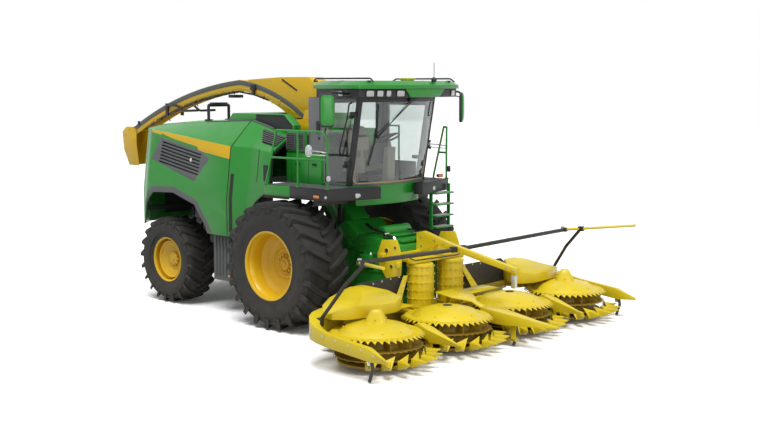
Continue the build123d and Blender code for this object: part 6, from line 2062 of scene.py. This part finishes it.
@dataclass
class Studio:
    """Pale floor, soft lights and the camera at the photograph's angle."""

    camera_place: Point = (14.505, -13.75, 3.9)
    azimuth: float = 42.93
    elevation: float = 6.41
    lens_mm: float = 54.57
    floor_size: float = 160.0
    floor_seen: float = 1.22      # tone of the floor and its own glow where the camera sees it
    floor_glow: float = 0.02
    floor_unseen: str = "#A9A9A8"
    world_fill: float = 0.34      # background's strength for rays that only light
    sun_place: Point = (3.0, -5.0, 14.0)
    sun_energy: float = 2.5
    sun_angle: float = 32
    box_place: Point = (15.0, -6.0, 6.0)
    box_look: Point = (15.0, -6.0, 4.5)
    box_size: float = 6.0
    box_watts: float = 420.0

    def build(self) -> None:
        """Set up the whole studio."""
        self.camera()
        self.floor()
        self.world()
        self.lamps()
        bpy.context.scene.view_settings.view_transform = "Standard"

    def camera(self) -> None:
        """Place the camera."""
        clear_selection()
        bpy.ops.object.camera_add(location=self.camera_place)
        camera = bpy.context.object
        a, e = math.radians(self.azimuth), math.radians(self.elevation)
        back = Vector((math.sin(a) * math.cos(e), -math.cos(a) * math.cos(e), math.sin(e)))
        right = Vector((math.cos(a), math.sin(a), 0))
        up = back.cross(right)
        camera.rotation_euler = Matrix((right, up, back)).transposed().to_euler()
        camera.data.lens = self.lens_mm
        camera.data.sensor_width = 36.0
        camera.data.clip_end = 400.0
        bpy.context.scene.camera = camera

    def floor(self) -> None:
        """Lay a pale floor that shows white but keeps the machine's shadow."""
        clear_selection()
        bpy.ops.mesh.primitive_plane_add(size=self.floor_size, location=(0, 0, 0))
        floor = bpy.context.object
        floor.name = floor.data.name = "studio_floor"
        material = bpy.data.materials.new("matt_white_paper")
        material.use_nodes = True
        tree = material.node_tree
        tree.nodes.remove(tree.nodes["Principled BSDF"])
        seen = self._seen(tree)
        tone = add_node(tree, "ShaderNodeMix", {"data_type": "RGBA", 6: linear(self.floor_unseen),
                                                7: (*[self.floor_seen] * 3, 1.0)}, {0: seen})
        paper = add_node(tree, "ShaderNodeBsdfDiffuse", None, {"Color": tone.outputs[2]})
        lift = add_node(tree, "ShaderNodeMath", {"operation": "MULTIPLY", 1: self.floor_glow},
                        {0: seen})
        glow = add_node(tree, "ShaderNodeEmission", {"Color": (1, 1, 1, 1)},
                        {"Strength": lift.outputs[0]})
        both = add_node(tree, "ShaderNodeAddShader", None,
                        {0: paper.outputs[0], 1: glow.outputs[0]})
        tree.links.new(both.outputs[0], tree.nodes["Material Output"].inputs["Surface"])
        floor.data.materials.append(material)
        floor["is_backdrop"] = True

    def _seen(self, tree: bpy.types.NodeTree) -> bpy.types.NodeSocket:
        """Return 1 for rays that show the background: camera, mirror and glass rays."""
        path = add_node(tree, "ShaderNodeLightPath")
        first = add_node(tree, "ShaderNodeMath", {"operation": "MAXIMUM"},
                         {0: path.outputs["Is Camera Ray"], 1: path.outputs["Is Glossy Ray"]})
        return add_node(tree, "ShaderNodeMath", {"operation": "MAXIMUM"},
                        {0: first.outputs[0], 1: path.outputs["Is Transmission Ray"]}).outputs[0]

    def world(self) -> None:
        """Fill the studio with soft light under a white background."""
        world = bpy.data.worlds.new("studio_white")
        bpy.context.scene.world = world
        world.use_nodes = True
        tree = world.node_tree
        seen = self._seen(tree)
        strength = add_node(tree, "ShaderNodeMapRange", {"To Min": self.world_fill, "To Max": 1.0},
                            {"Value": seen})
        sky = tree.nodes["Background"]
        sky.inputs["Color"].default_value = (1.0, 1.0, 1.0, 1.0)
        tree.links.new(strength.outputs[0], sky.inputs["Strength"])

    def lamps(self) -> None:
        """Hang a broad, soft key light high up and a weak soft box on the camera's right."""
        key = self.lamp("SUN", self.sun_place, self.sun_place)
        key.energy, key.angle = self.sun_energy, math.radians(self.sun_angle)
        box = self.lamp("AREA", self.box_place, self.box_look)
        box.energy, box.size = self.box_watts, self.box_size

    def lamp(self, kind: str, place: Point, look: Point) -> bpy.types.Light:
        """Hang a lamp at a place that shines back along a direction."""
        clear_selection()
        bpy.ops.object.light_add(type=kind, location=place)
        bpy.context.object.rotation_euler = Vector(look).to_track_quat("Z", "Y").to_euler()
        return bpy.context.object.data


def keep_box(label: str, sizes: dict) -> None:
    """Note the object's box under a label."""
    low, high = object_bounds()
    sizes[label] = {"low": list(low), "high": list(high)}


def main() -> None:
    """Build the scene piece by piece."""
    logging.basicConfig(level=logging.INFO, format="%(message)s")
    for leftover in list(bpy.data.objects):
        bpy.data.objects.remove(leftover)
    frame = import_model()
    sizes: dict = {}
    keep_box("cad", sizes)
    Studio().build()
    pieces = build_wheels()
    for row in SHELLS:
        piece = CadShell(*row).build(frame)
        if row[0] in SECOND_FINISHES:
            paint_where(piece, *SECOND_FINISHES[row[0]])
        pieces.append(piece)
    for side in Side:
        pieces += SideDoor(side).build(frame)
        pieces += Mirror(side).build()
    for trim in (CabTrim(), HoodTrim(), WalkTrim(), SpoutTrim(), RotorSet(), DrumPair(),
                 HeaderTrim()):
        pieces += trim.build()
    for node in ("cab_glass", "door_glass"):
        frame["nodes"][node].data.materials.clear()
        frame["nodes"][node].data.materials.append(SHOP.material(CAB_GLASS))
    pieces += build_seat()
    for piece in pieces:
        LOG.info("%s: %d faces", piece.name, len(piece.data.polygons))
    keep_box("visual", sizes)


if __name__ == "__main__":
    main()
